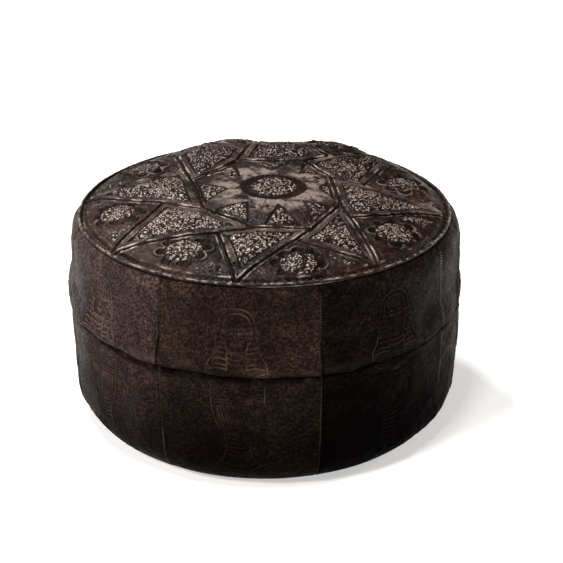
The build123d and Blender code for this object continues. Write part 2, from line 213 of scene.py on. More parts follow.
floor_material = new_material("pale_floor")
floor_tree = floor_material.node_tree
floor_places = node(floor_tree, "ShaderNodeTexCoord").outputs["Object"]
floor_reach = node(floor_tree, "ShaderNodeVectorMath", operation="LENGTH")
link(floor_tree, floor_places, floor_reach.inputs[0])
floor_far = node(floor_tree, "ShaderNodeMapRange")
for ends, (near, far) in (("From", glow_distances), ("To", glow_strengths)):
    floor_far.inputs[f"{ends} Min"].default_value = near
    floor_far.inputs[f"{ends} Max"].default_value = far
link(floor_tree, floor_reach.outputs["Value"], floor_far.inputs["Value"])
floor_glow = node(floor_tree, "ShaderNodeEmission", Color=(1, 1, 1, 1))
link(floor_tree, floor_far.outputs["Result"], floor_glow.inputs["Strength"])
floor_paint = node(floor_tree, "ShaderNodeBsdfDiffuse", Color=(0.8, 0.8, 0.8, 1))
floor_sum = node(floor_tree, "ShaderNodeAddShader")
link(floor_tree, floor_paint.outputs[0], floor_sum.inputs[0])
link(floor_tree, floor_glow.outputs[0], floor_sum.inputs[1])
floor_paths = node(floor_tree, "ShaderNodeLightPath").outputs
floor_seen = maths(floor_tree, "MAXIMUM", floor_paths["Is Camera Ray"], floor_paths["Is Glossy Ray"])
floor_seen = maths(floor_tree, "MAXIMUM", floor_seen, floor_paths["Is Transmission Ray"])
floor_bounce = node(floor_tree, "ShaderNodeBsdfDiffuse", Color=(0.12, 0.12, 0.12, 1))
floor_mix = node(floor_tree, "ShaderNodeMixShader")
for place, source in enumerate((floor_seen, floor_bounce.outputs[0], floor_sum.outputs[0])):
    link(floor_tree, source, floor_mix.inputs[place])
shown(floor_tree, floor_mix.outputs[0])
print("floor glows from", glow_strengths[0], "to", glow_strengths[1])

# %% Floor's disc
floor_shape = bmesh.new()
bmesh.ops.create_circle(floor_shape, cap_ends=True, segments=64, radius=floor_radius)
floor_mesh = bpy.data.meshes.new("floor")
floor_shape.to_mesh(floor_mesh)
floor_shape.free()
floor_mesh.materials.append(floor_material)
floor = bpy.data.objects.new("floor", floor_mesh)
scene.collection.objects.link(floor)
print("floor reaches", floor_radius, "m")

# %% [markdown]
# ## Noise and distance
# Two kinds of measure shape all the relief. Smooth noise gives lumps, puckers and wrinkles. The
# distance from a point to a line gives seams, borders and pressed lines. Both work on whole arrays of
# points at once, so a hundred thousand points take a moment.

# %% Noise
lattice = np.random.default_rng(11).uniform(-1, 1, (24, 64, 64))


def ripple(across, along, cell, layer=0):
    """Smooth noise between -1 and 1 on a plane, with lumps of about a cell's size."""
    u = across / cell
    v = along / cell
    column = np.floor(u).astype(int)
    row = np.floor(v).astype(int)
    u = u - column
    v = v - row
    u = u * u * (3 - 2 * u)
    v = v * v * (3 - 2 * v)
    sheet = lattice[layer % 24]
    low = sheet[row % 64, column % 64] * (1 - u) + sheet[row % 64, (column + 1) % 64] * u
    high = sheet[(row + 1) % 64, column % 64] * (1 - u) + sheet[(row + 1) % 64, (column + 1) % 64] * u
    return low * (1 - v) + high * v


def pebbles(across, along, cell, layer=0):
    """Rounded pebbles about a cell apart: how high each place stands, and a tone for each pebble."""
    column = np.floor(across / cell).astype(int)
    row = np.floor(along / cell).astype(int)
    nearest = np.full(across.shape, 9.0)
    tone = np.zeros(across.shape)
    for step_across in (-1, 0, 1):
        for step_along in (-1, 0, 1):
            place = (row + step_along) % 64, (column + step_across) % 64
            centre_across = column + step_across + 0.5 + 0.42 * lattice[layer % 24][place]
            centre_along = row + step_along + 0.5 + 0.42 * lattice[(layer + 1) % 24][place]
            reach = np.hypot(across / cell - centre_across, along / cell - centre_along)
            tone = np.where(reach < nearest, lattice[(layer + 2) % 24][place], tone)
            nearest = np.minimum(nearest, reach)
    return np.clip(1 - (nearest / 0.6) ** 2, 0, 1), tone


# %% Ramps, ridges and distances
def ramp(value, low, high):
    """Rises smoothly from 0 at low to 1 at high."""
    share = np.clip((value - low) / (high - low), 0, 1)
    return share * share * (3 - 2 * share)


def ridge(distance, width):
    """A rounded ridge along a line, 1 at the line and gone by about twice its width."""
    return np.exp(-((distance / width) ** 2))


def nearest_line(x, y, lines):
    """The distance to the nearest of some straight lines, and how far along that line the place is."""
    distance = np.full(x.shape, 1e9)
    travel = np.zeros(x.shape)
    run = 0.0
    for (x0, y0), (x1, y1) in lines:
        length = math.hypot(x1 - x0, y1 - y0)
        dx = (x1 - x0) / length
        dy = (y1 - y0) / length
        t = np.clip((x - x0) * dx + (y - y0) * dy, 0, length)
        reach = np.hypot(x - x0 - t * dx, y - y0 - t * dy)
        nearer = reach < distance
        distance = np.where(nearer, reach, distance)
        travel = np.where(nearer, t + run, travel)
        run += length + 37
    return distance, travel


# %% [markdown]
# ## The two shapes under the leather
# The top is a dome: a wide crown arc that runs smoothly into a tight edge arc. The wall is one section
# turned round the axis: a round base corner, a slow rise, the fold that goes right round a little above
# the middle, and a soft shoulder under the welt. A tangent arc is enough to draw all of them.

# %% Dome height
crown_height = 312.8
crown_reach = 0.86 * rim_radius
crown_end_height = seam_height + 0.5 * (crown_height - seam_height)
crown_drop = crown_height - crown_end_height
crown_arc = (crown_reach**2 + crown_drop**2) / (2 * crown_drop)
crown_slope = math.asin(crown_reach / crown_arc)
edge_chord = math.hypot(top_edge_radius - crown_reach, crown_end_height - seam_height)
edge_turn = math.atan2(crown_end_height - seam_height, top_edge_radius - crown_reach) - crown_slope
edge_arc = edge_chord / (2 * math.sin(edge_turn))
edge_centre = (
    crown_reach - edge_arc * math.sin(crown_slope),
    crown_end_height - edge_arc * math.cos(crown_slope),
)


def dome_height(x, y):
    """Height of the top's plain face over a place on the plan."""
    reach = np.hypot(x, y)
    crown = crown_height - crown_arc + np.sqrt(np.maximum(crown_arc**2 - reach**2, 0))
    edge = edge_centre[1] + np.sqrt(np.maximum(edge_arc**2 - (reach - edge_centre[0]) ** 2, 0))
    return np.where(reach < crown_reach, crown, edge)


print("dome at its edge", float(dome_height(np.array([top_edge_radius]), np.array([0.0]))[0]))


# %% Wall section
def tangent_arc(start, heading, end, count=60):
    """Points along the arc that leaves start along a heading and reaches end."""
    start = np.array(start, float)
    chord = np.array(end, float) - start
    ahead = np.array(heading, float)
    left = np.array((-ahead[1], ahead[0]))
    bend = math.atan2(chord @ left, chord @ ahead)
    radius = math.hypot(*chord) / (2 * math.sin(bend))
    turn = np.linspace(0, 2 * bend, count)[:, None]
    return start + radius * (np.sin(turn) * ahead + (1 - np.cos(turn)) * left)


def round_arc(centre, radius, start_angle, end_angle, count=60):
    """Points along a circle's arc between two angles in degrees."""
    turn = np.radians(np.linspace(start_angle, end_angle, count))[:, None]
    return np.array(centre) + radius * np.hstack((np.cos(turn), np.sin(turn)))


base_corner_radius = 46.0
wall_base_radius = 217.3
wall_rim_radius = 251.1
shoulder_radius = 16.0
fold_foot = (0.993 * body_radius, 0.575 * rim_height)
crease = (0.981 * body_radius, 0.592 * rim_height)
lip = (body_radius, 0.62 * rim_height)
lip_top = (0.977 * body_radius, 0.72 * rim_height)
shoulder_centre = (
    wall_rim_radius - shoulder_radius * math.cos(math.radians(70)),
    seam_height - shoulder_radius * math.sin(math.radians(70)),
)
base_corner = round_arc((wall_base_radius, base_corner_radius), base_corner_radius, -90, -5)
steep = (math.cos(math.radians(85)), math.sin(math.radians(85)))
wall_points = np.vstack(
    (
        base_corner,
        tangent_arc(base_corner[-1], steep, fold_foot)[1:],
        [crease],
        tangent_arc(lip, (0, -1), crease)[::-1][1:],
        tangent_arc(lip, (0, 1), lip_top)[1:],
        round_arc(shoulder_centre, shoulder_radius, 0, 70),
    )
)
wall_steps = np.hypot(*np.diff(wall_points, axis=0).T)
wall_travel = np.concatenate(([0], np.cumsum(wall_steps)))
wall_length = wall_travel[-1]
crease_travel = float(np.interp(crease[1], wall_points[:, 1], wall_travel))
even_travel = np.arange(0, wall_length, 0.5)
even_radius = np.interp(even_travel, wall_travel, wall_points[:, 0])
even_height = np.interp(even_travel, wall_travel, wall_points[:, 1])
soft = np.exp(-((np.arange(-8, 9) / 3.5) ** 2))
soft = soft / soft.sum()
out_radius = np.convolve(np.gradient(even_height), soft, "same")
out_height = np.convolve(-np.gradient(even_radius), soft, "same")
out_length = np.hypot(out_radius, out_height)
out_radius = out_radius / out_length
out_height = out_height / out_length
print("wall is", round(wall_length, 1), "mm from floor to welt; its crease is at", round(crease_travel, 1))


# %% Places on the wall and on the rim
def on_wall(azimuth, travel, lift):
    """A place on the wall by its azimuth, its travel up from the floor and its lift off the face."""
    radius = np.interp(travel, even_travel, even_radius) + lift * np.interp(travel, even_travel, out_radius)
    height = np.interp(travel, even_travel, even_height) + lift * np.interp(travel, even_travel, out_height)
    turn = np.radians(azimuth)
    return np.stack((radius * np.sin(turn), -radius * np.cos(turn), height), axis=1)


def rim_wave(azimuth):
    """How far the rim stands above its plain height, because no stuffed rim lies quite level."""
    turn = np.radians(azimuth)
    wave = 0.9 * np.sin(2 * turn + 0.6) + 0.8 * np.sin(5 * turn + 1.1) + 0.5 * np.sin(9 * turn)
    return 1.1 + 0.55 * wave


print("rim stands", round(float(rim_wave(0.0)), 2), "mm high at the front")

# %% [markdown]
# ## Leather finish
# The leather is dyed nearly black-brown, then waxed and rubbed, so raised places are lighter and
# glossier than hollows. On top of that, highlights are painted lighter on ridges, lips and pebble tops,
# and shade is painted darker in hollows, grooves and between pebbles. One builder makes every leather of
# the pouf, and each call changes its dye, its gloss and its colour for rubbed places and painted
# highlights. The relief itself is in the mesh; the shader adds what is finer than the mesh: pores,
# scuffs, the uneven dye and painted glints. One attribute on the points tells it how much lighter the
# leather is, from rub and painted highlight, and how much darker, from painted shade; another tells it
# where the leather is pebbled and where glints are painted on it.

# %% Colour and noise helpers
def mix_colour(tree, factor, first, second, blend="MIX"):
    """A colour mix node; each of its three inputs may be a socket or a plain value."""
    made = tree.nodes.new("ShaderNodeMix")
    made.data_type = "RGBA"
    made.blend_type = blend
    for place, value in ((0, factor), (6, first), (7, second)):
        if isinstance(value, bpy.types.NodeSocket):
            link(tree, value, made.inputs[place])
        else:
            made.inputs[place].default_value = value
    return made.outputs[2]


def spread(tree, value, low, high, out_low=0.0, out_high=1.0):
    """Maps a range of one value on a range of another, smoothly."""
    made = tree.nodes.new("ShaderNodeMapRange")
    made.interpolation_type = "SMOOTHSTEP"
    link(tree, value, made.inputs["Value"])
    made.inputs["From Min"].default_value = low
    made.inputs["From Max"].default_value = high
    made.inputs["To Min"].default_value = out_low
    made.inputs["To Max"].default_value = out_high
    return made.outputs[0]


def noise(tree, places, scale, detail=4.0, roughness=0.55):
    """A noise texture over the object's own coordinates, in metres."""
    made = tree.nodes.new("ShaderNodeTexNoise")
    made.inputs["Scale"].default_value = scale
    made.inputs["Detail"].default_value = detail
    made.inputs["Roughness"].default_value = roughness
    link(tree, places, made.inputs["Vector"])
    return made.outputs["Fac"]


def bumped(tree, shader, height, strength, depth):
    """A shader's face takes fine relief from a height; the depth is in metres."""
    bump = node(tree, "ShaderNodeBump", Strength=strength, Distance=depth)
    link(tree, height, bump.inputs["Height"])
    link(tree, bump.outputs[0], shader.inputs["Normal"])


def grey(tree, value):
    """A grey colour from a value."""
    made = node(tree, "ShaderNodeCombineColor")
    for place in range(3):
        link(tree, value, made.inputs[place])
    return made.outputs[0]


# %% Leather material
# painted shade for hollows, grooves and the gaps between pebbles; the tan is the colour of rubbed leather
# and of painted highlights
painted_hollow_shade = (0.004, 0.0028, 0.0025, 1)
wax_tint = (1, 0.9, 0.82, 1)
tan_and_highlight = (0.47, 0.37, 0.31)


def leather_material(name, dye, warm, rub_and_light, gloss, level, shine, pore):
    """Waxed leather from its dye, the tint of its uneven places, its colour for rubbed places and painted
    highlights, and its gloss.
    """
    made = new_material(name)
    tree = made.node_tree
    places = node(tree, "ShaderNodeTexCoord").outputs["Object"]
    tone_wear_and_painted_light = node(tree, "ShaderNodeAttribute", attribute_name="tone_wear_and_painted_light").outputs["Fac"]
    pebbles_and_glints = node(tree, "ShaderNodeAttribute", attribute_name="pebbles_and_glints").outputs["Fac"]
    paler = spread(tree, tone_wear_and_painted_light, 0.0, 1.0)
    sunk = spread(tree, tone_wear_and_painted_light, 0.0, -1.0)
    broad = noise(tree, places, 9)
    cloudy = noise(tree, places, 46, 7, 0.68)
    fine = noise(tree, places, 360, 4, 0.7)
    # the dye is uneven in clouds, and each cell of the skin has a tone of its own, which also paints glints
    # on the lighter cells
    colour = mix_colour(tree, spread(tree, broad, 0.38, 0.66), (*dye, 1), (*warm, 1))
    skin = node(tree, "ShaderNodeTexVoronoi", feature="SMOOTH_F1", Scale=430.0, Smoothness=0.3)
    link(tree, places, skin.inputs["Vector"])
    skin_tone = node(tree, "ShaderNodeSeparateColor")
    link(tree, skin.outputs["Color"], skin_tone.inputs[0])
    glint = spread(tree, skin_tone.outputs[0], 0.25, 0.85, 0.5, 1.65)
    mottle = spread(tree, cloudy, 0.3, 0.72, 0.62, 1.35)
    mottle = maths(tree, "MULTIPLY", mottle, spread(tree, fine, 0.34, 0.68, 0.5, 1.5))
    mottle = maths(tree, "MULTIPLY", mottle, glint)
    colour = mix_colour(tree, 1.0, colour, grey(tree, mottle), "MULTIPLY")
    # where it is rubbed, the tan of the bare leather shows, and the same tan paints highlights on ridges
    # and glints on pebble tops
    wear_and_highlight = maths(tree, "MULTIPLY", paler, spread(tree, fine, 0.32, 0.6, 0.5, 1.0))
    colour = mix_colour(tree, wear_and_highlight, colour, (*rub_and_light, 1))
    grains = node(tree, "ShaderNodeTexVoronoi", feature="F1", Scale=480.0)
    link(tree, places, grains.inputs["Vector"])
    speck = spread(tree, grains.outputs["Distance"], 0.42, 0.12)
    speck = maths(tree, "MULTIPLY", speck, spread(tree, cloudy, 0.36, 0.6, 0.15, 1.0))
    colour = mix_colour(tree, maths(tree, "MULTIPLY", pebbles_and_glints, speck), colour, (*rub_and_light, 1))
    # painted shade: hollows, grooves and the gaps between pebbles are painted dark, and every leather is
    # painted darker towards the floor
    colour = mix_colour(tree, maths(tree, "MULTIPLY", sunk, 0.8), colour, painted_hollow_shade)
    low = node(tree, "ShaderNodeSeparateXYZ")
    link(tree, places, low.inputs[0])
    shade_near_floor = spread(tree, low.outputs["Z"], 0.04, 0.25, 0.26, 1.0)
    colour = mix_colour(tree, 1.0, colour, grey(tree, shade_near_floor), "MULTIPLY")
    shader = node(tree, "ShaderNodeBsdfPrincipled")
    shader.inputs["Specular Tint"].default_value = wax_tint
    link(tree, colour, shader.inputs["Base Color"])
    # raised places are polished; painted shade also dims the reflection in hollows and towards the floor
    roughness = spread(tree, cloudy, 0.3, 0.7, gloss - 0.08, gloss + 0.14)
    roughness = maths(tree, "SUBTRACT", roughness, maths(tree, "MULTIPLY", paler, 0.05))
    roughness = maths(tree, "SUBTRACT", roughness, spread(tree, glint, 1.2, 1.9, 0.0, 0.1))
    link(tree, roughness, shader.inputs["Roughness"])
    raised = maths(tree, "MAXIMUM", pebbles_and_glints, paler)
    sheen = maths(tree, "MULTIPLY", maths(tree, "ADD", level, maths(tree, "MULTIPLY", raised, shine)), shade_near_floor)
    hidden = maths(tree, "SUBTRACT", 1.0, maths(tree, "MULTIPLY", sunk, 0.85))
    link(tree, maths(tree, "MULTIPLY", sheen, hidden), shader.inputs["Specular IOR Level"])
    # pores, fine creases and grains are too small for the mesh
    cells = node(tree, "ShaderNodeTexVoronoi", feature="F1", Scale=760.0)
    link(tree, places, cells.inputs["Vector"])
    creases = noise(tree, places, 170, 5, 0.62)
    grain = maths(tree, "ADD", maths(tree, "MULTIPLY", cells.outputs["Distance"], 0.7), creases)
    grain = maths(tree, "ADD", grain, maths(tree, "MULTIPLY", skin_tone.outputs[0], 0.7))
    stipple = maths(tree, "MULTIPLY", maths(tree, "MULTIPLY", pebbles_and_glints, grains.outputs["Distance"]), -1.6)
    bumped(tree, shader, maths(tree, "ADD", grain, stipple), pore, 0.0009)
    shown(tree, shader.outputs[0])
    return made


# %% Leathers of the top
star_leather = leather_material(
    "star_leather",
    dye=(0.0085, 0.0046, 0.0038),
    warm=(0.024, 0.0135, 0.0115),
    rub_and_light=tan_and_highlight,
    gloss=0.29,
    level=0.08,
    shine=0.8,
    pore=0.55,
)
patch_leather = leather_material(
    "patch_leather",
    dye=(0.0095, 0.0048, 0.0038),
    warm=(0.029, 0.0152, 0.0118),
    rub_and_light=tan_and_highlight,
    gloss=0.31,
    level=0.08,
    shine=0.8,
    pore=0.55,
)
print("top leathers", star_leather.name, patch_leather.name)

# %% Leathers of the wall, welt and base
# each panel has a tone of its own; on top of that the panels on the lit left are dyed lighter and those on
# the shaded right front darker, as painted light and shade, and a darker panel also reflects less
panel_dyes_and_light = (
    ((0.017, 0.0098, 0.0074), (0.043, 0.0272, 0.0205)),
    ((0.0045, 0.0024, 0.0019), (0.010, 0.0058, 0.0044)),
    ((0.0085, 0.0056, 0.0032), (0.024, 0.0165, 0.010)),
    ((0.013, 0.0076, 0.0057), (0.034, 0.0205, 0.015)),
    ((0.016, 0.0098, 0.008), (0.04, 0.026, 0.021)),
    ((0.010, 0.0057, 0.0043), (0.028, 0.0165, 0.012)),
    ((0.020, 0.0132, 0.0088), (0.046, 0.032, 0.0225)),
    ((0.021, 0.0122, 0.0105), (0.056, 0.0352, 0.0318)),
)
wall_leathers = [
    leather_material(
        f"wall_leather_{k}",
        dye=dye,
        warm=warm,
        rub_and_light=tuple(0.02 + 5.4 * c for c in warm),
        gloss=0.45,
        level=0.01 + 0.5 * warm[0],
        shine=0.1,
        pore=1.0,
    )
    for k, (dye, warm) in enumerate(panel_dyes_and_light, 1)
]
welt_leather = leather_material(
    "welt_leather",
    dye=(0.011, 0.0062, 0.005),
    warm=(0.028, 0.0165, 0.013),
    rub_and_light=(0.36, 0.285, 0.235),
    gloss=0.33,
    level=0.12,
    shine=0.5,
    pore=0.5,
)
base_leather = leather_material(
    "base_leather",
    dye=(0.02, 0.012, 0.0095),
    warm=(0.04, 0.025, 0.019),
    rub_and_light=(0.13, 0.09, 0.07),
    gloss=0.6,
    level=0.1,
    shine=0.0,
    pore=0.6,
)
print("leathers", [m.name for m in bpy.data.materials if "leather" in m.name])

# %% [markdown]
# ## How a leather becomes a closed piece
# A real panel is a flat cut of leather, 2 mm thick. It is modelled the same way: a flat grid is trimmed
# to the pattern, each of its points is carried to its place on the pouf, a coarser grid carries the
# back of the same leather, and the two edges are bridged. The piece is then closed, like the real one.

# %% Flat cuts
def inside_outline(x, y, lines):
    """1 inside a closed outline, 0 outside, by counting the edges that a ray crosses."""
    crossings = np.zeros(x.shape, int)
    for (x0, y0), (x1, y1) in lines:
        spans = (y0 > y) != (y1 > y)
        at = x0 + (y - y0) * (x1 - x0) / (y1 - y0 if y1 != y0 else 1e-9)
        crossings = crossings + (spans & (x < at))
    return crossings % 2


def cut_along(shape, place, out, clear):
    """Cuts a flat shape along a line and, if asked, clears what lies beyond it."""
    bmesh.ops.bisect_plane(
        shape,
        geom=shape.verts[:] + shape.edges[:] + shape.faces[:],
        dist=1e-4,
        plane_co=(*place, 0),
        plane_no=(*out, 0),
        clear_outer=clear,
    )


def flat_cut(outline, spacing, edge_radius=None, inset=seam_gap / 2):
    """A flat grid trimmed to an outline, drawn in by half a seam, and to the top's round edge."""
    corners = np.array(outline)
    following = np.roll(corners, -1, axis=0)
    area = (corners[:, 0] * following[:, 1] - corners[:, 1] * following[:, 0]).sum()
    low = np.maximum(corners.min(axis=0) - 2, -top_edge_radius - 2)
    high = np.minimum(corners.max(axis=0) + 2, top_edge_radius + 2)
    size = high - low
    steps = np.maximum(np.round(size / spacing).astype(int), 2)
    made = bmesh.new()
    bmesh.ops.create_grid(made, x_segments=int(steps[0]), y_segments=int(steps[1]), size=0.5)
    bmesh.ops.scale(made, verts=made.verts, vec=(size[0], size[1], 1))
    bmesh.ops.translate(made, verts=made.verts, vec=(*(low + high) / 2, 0))
    if edge_radius:
        for turn in np.radians(np.arange(0, 360, 3)):
            out = np.array((math.cos(turn), math.sin(turn)))
            if max(corners @ out) > edge_radius:
                cut_along(made, edge_radius * out, out, True)
    for start, end in zip(corners, following):
        run = (end - start) / np.hypot(*(end - start))
        out = np.array((run[1], -run[0])) * math.copysign(1, area)
        bulges = max((corners - start) @ out) > 0.1
        cut_along(made, start - inset * out, out, not bulges)
    lines = list(zip(corners, following))
    middles = np.array([f.calc_center_median()[:2] for f in made.faces])
    inside = inside_outline(middles[:, 0], middles[:, 1], lines) == 1
    inside = inside & (nearest_line(middles[:, 0], middles[:, 1], lines)[0] > inset - 0.001)
    spare = [f for f, kept in zip(made.faces[:], inside) if not kept]
    bmesh.ops.delete(made, geom=spare, context="FACES")
    return made


# %% From a flat cut to a shaped leather
def shaped_leather(name, face, back, face_shape, back_shape, material):
    """Carries a flat face and a flat back to their places, bridges their edges and closes the piece."""
    tone_wear_and_painted_light = face.verts.layers.float.new("tone_wear_and_painted_light")
    pebbles_and_glints = face.verts.layers.float.new("pebbles_and_glints")
    flat = np.array([v.co[:] for v in face.verts])
    points, rub_and_light, pebble_and_glint = face_shape(flat[:, 0], flat[:, 1])
    rub_and_light = np.clip(rub_and_light, -1, 1)
    pebble_and_glint = np.clip(pebble_and_glint, 0, 1)
    for vert, point, r, p in zip(face.verts, points.tolist(), rub_and_light.tolist(), pebble_and_glint.tolist()):
        vert.co = point
        vert[tone_wear_and_painted_light] = r
        vert[pebbles_and_glints] = p
    flat = np.array([v.co[:] for v in back.verts])
    for vert, point in zip(back.verts, back_shape(flat[:, 0], flat[:, 1]).tolist()):
        vert.co = point
    bmesh.ops.reverse_faces(back, faces=back.faces)
    carried = bpy.data.meshes.new("carried")
    back.to_mesh(carried)
    back.free()
    face.from_mesh(carried)
    bpy.data.meshes.remove(carried)
    bmesh.ops.bridge_loops(face, edges=[e for e in face.edges if e.is_boundary])
    bmesh.ops.recalc_face_normals(face, faces=face.faces)
    return finished(name, face, material)


def finished(name, shape, material):
    """Brings a shape to metres and makes it an object at the origin."""
    bmesh.ops.scale(shape, verts=shape.verts, vec=(mm, mm, mm))
    for face in shape.faces:
        face.smooth = True
    mesh = bpy.data.meshes.new(name)
    shape.to_mesh(mesh)
    shape.free()
    mesh.materials.append(material)
    made = bpy.data.objects.new(name, mesh)
    scene.collection.objects.link(made)
    return made


def dress(piece, slot, *nodes):
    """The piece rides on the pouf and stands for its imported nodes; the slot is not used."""
    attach(piece, "root")
    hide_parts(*nodes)


# %% [markdown]
# ## Seams of the star
# The star's seams form a pinwheel: eight long seams leave the octagon's corners for the rim, and a
# short seam branches off each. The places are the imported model's own.

# %% Seam places
octagon_corners = [
    on_plan(share, azimuth)
    for share, azimuth in (
        (0.563, 25.8),
        (0.447, 63.9),
        (0.413, 118.4),
        (0.477, 152.6),
        (0.450, 199.7),
        (0.441, 247.8),
        (0.412, 308.6),
        (0.502, 353.9),
    )
]
rim_ends = [on_plan(1, azimuth) for azimuth in (308.7, 351.6, 34.3, 79.6, 128, 179, 214.6, 266)]
branch_shares = (0.26, 0.24, 0.25, 0.28, 0.25, 0.30, 0.25, 0.32)
branches = [
    octagon_corners[k - 1] + (rim_ends[k] - octagon_corners[k - 1]) * branch_shares[k]
    for k in range(panel_count)
]
star_seams = []
for k in range(panel_count):
    star_seams.append((octagon_corners[k], octagon_corners[k - 1]))
    star_seams.append((octagon_corners[k - 1], rim_ends[k]))
    star_seams.append((branches[k - 1], rim_ends[k]))
medallion_centre = on_plan(0.05, 72)
print(len(star_seams), "seams in the star")

# %% [markdown]
# ## Swell of the stuffing
# Stuffing pushes each leather out between its seams. A cloth simulation gives that swell: a sheet is
# pinned along the seams and blown up by a little pressure, with gravity off. Only its swell is kept,
# read back as a height map, so the fine leathers can be laid over it.

# %% Blow up a pinned sheet
swell_steps = 20


def blown_up(sheet, pinned, growth, pressure):
    """Simulates a sheet that is held at its seams, and gives its points before and after."""
    before = np.array([v.co[:] for v in sheet.verts])
    mesh = bpy.data.meshes.new("swell")
    sheet.to_mesh(mesh)
    sheet.free()
    made = bpy.data.objects.new("swell", mesh)
    scene.collection.objects.link(made)
    held = made.vertex_groups.new(name="seams")
    held.add([int(i) for i in np.flatnonzero(pinned)], 1.0, "REPLACE")
    cloth = made.modifiers.new("cloth", "CLOTH")
    cloth.point_cache.frame_start = 1
    cloth.point_cache.frame_end = swell_steps
    cloth.settings.quality = 4
    cloth.settings.mass = 0.3
    cloth.settings.tension_stiffness = 25
    cloth.settings.compression_stiffness = 25
    cloth.settings.shear_stiffness = 10
    cloth.settings.bending_stiffness = 0.4
    cloth.settings.shrink_min = -growth
    cloth.settings.use_pressure = True
    cloth.settings.uniform_pressure_force = pressure
    cloth.settings.effector_weights.gravity = 0
    cloth.settings.vertex_group_mass = "seams"
    for step in range(1, swell_steps + 1):
        scene.frame_set(step)
    moved = made.evaluated_get(bpy.context.evaluated_depsgraph_get()).to_mesh()
    after = np.zeros(len(moved.vertices) * 3)
    moved.vertices.foreach_get("co", after)
    after = after.reshape(-1, 3)
    bpy.data.objects.remove(made)
    bpy.data.meshes.remove(mesh)
    scene.frame_set(1)
    return before, after


# %% Read a height map
def read_map(heights, low, spacing, across, along):
    """Reads a height map between its points."""
    u = np.clip((across - low[0]) / spacing[0], 0, heights.shape[1] - 1.001)
    v = np.clip((along - low[1]) / spacing[1], 0, heights.shape[0] - 1.001)
    column = u.astype(int)
    row = v.astype(int)
    u = u - column
    v = v - row
    low_row = heights[row, column] * (1 - u) + heights[row, column + 1] * u
    high_row = heights[row + 1, column] * (1 - u) + heights[row + 1, column + 1] * u
    return low_row * (1 - v) + high_row * v


# %% Swell of the top
swell_cap = 5.0
top_steps = 100
top_spacing = 2 * rim_radius / top_steps
top_sheet = bmesh.new()
bmesh.ops.create_grid(top_sheet, x_segments=top_steps, y_segments=top_steps, size=rim_radius * mm)
top_flat = np.array([v.co[:] for v in top_sheet.verts]) / mm
top_rise = dome_height(top_flat[:, 0], top_flat[:, 1]) * mm
for vert, height in zip(top_sheet.verts, top_rise.tolist()):
    vert.co.z = height
pinned = nearest_line(top_flat[:, 0], top_flat[:, 1], star_seams)[0] < 0.7 * top_spacing
pinned = pinned | (np.hypot(top_flat[:, 0], top_flat[:, 1]) > top_edge_radius - 6)
top_before, top_after = blown_up(top_sheet, pinned, growth=0.012, pressure=6.0)
lift = np.clip((top_after - top_before)[:, 2] / mm, -1.0, swell_cap)
order = np.lexsort((np.round(top_flat[:, 0], 2), np.round(top_flat[:, 1], 2)))
top_swell = lift[order].reshape(top_steps + 1, top_steps + 1)
print("top swells by up to", round(float(top_swell.max()), 2), "mm")

# %% [markdown]
# ## Face of the top
# Besides the swell, the whole crown is a little lumpy, because fibre packs unevenly, and it stands
# highest behind the middle. The seams sink, their lips stand up and pucker where the thread pulls.

# %% Face of the top
crown_lumps = (
    (-62, 165, 60, 16.0),
    (88, 165, 60, 15.0),
    (12, 170, 50, 5.0),
    (165, 110, 50, 6.0),
    (140, 135, 42, 3.0),
    (-170, 100, 45, 3.0),
    (40, 60, 60, 2.0),
    (-120, -20, 60, 1.5),
    (30, -90, 70, 1.4),
)


def top_face(x, y):
    """Height of the top's face with its swell and lumps, before seams and pressing."""
    height = dome_height(x, y)
    height = height + read_map(top_swell, (-rim_radius, -rim_radius), (top_spacing, top_spacing), x, y)
    fade = ramp(top_edge_radius - np.hypot(x, y), 2, 40)
    for lump_x, lump_y, size, lump in crown_lumps:
        height = height + fade * lump * np.exp(-((x - lump_x) ** 2 + (y - lump_y) ** 2) / size**2)
    azimuth = np.degrees(np.arctan2(x, -y))
    rim = rim_wave(azimuth) * (1 - ramp(top_edge_radius - np.hypot(x, y), 0, 34))
    return height + rim + fade * 0.9 * ripple(x, y, 34, 3)


# %% Seams, rim and grain of the top
def seam_relief(x, y):
    """Sink, raised lip and puckers beside the nearest seam; the lips are rubbed lighter with a painted
    highlight, and the seam is painted dark as shade.
    """
    distance, travel = nearest_line(x, y, star_seams)
    pull = ripple(travel, distance * 0.35, 4.4, 5) * np.exp(-distance / 6) * ramp(distance, 0.6, 2.6)
    wide_pull = ripple(travel, distance * 0.2, 13, 6) * np.exp(-distance / 16)
    lip_rise = ridge(distance - 3.4, 1.2)
    relief = -1.65 * ridge(distance, 1.8) + 1.25 * lip_rise + 0.7 * pull + 0.7 * wide_pull
    wear_and_painted_light = lip_rise * (0.26 + 0.65 * np.clip(ripple(travel, distance, 15, 8), -0.3, 1) + 0.5 * pull)
    return relief, wear_and_painted_light - 1.1 * ridge(distance, 1.9), distance


def rim_relief(x, y):
    """The top's edge sinks to the welt, and the topstitching draws a shallow furrow. The bands beside it
    are rubbed lighter with a painted highlight, and the furrow is painted dark as shade.
    """
    reach = np.hypot(x, y)
    around = np.degrees(np.arctan2(x, -y)) * 4.3
    furrow = ridge(reach - topstitch_radius, 1.5)
    pull = ripple(around, reach * 0.2, 4.6, 9) * np.exp(-((reach - topstitch_radius) ** 2) / 60)
    band = ridge(reach - topstitch_radius + 3.8, 1.4) + 0.8 * ridge(reach - topstitch_radius - 3.0, 1.2)
    relief = -0.9 * furrow + 0.6 * pull + 0.55 * band
    wear_and_painted_light = 0.55 * band * np.clip(0.1 + 1.3 * ripple(around, reach, 9, 10), 0, 1) - 0.7 * furrow
    return relief, wear_and_painted_light


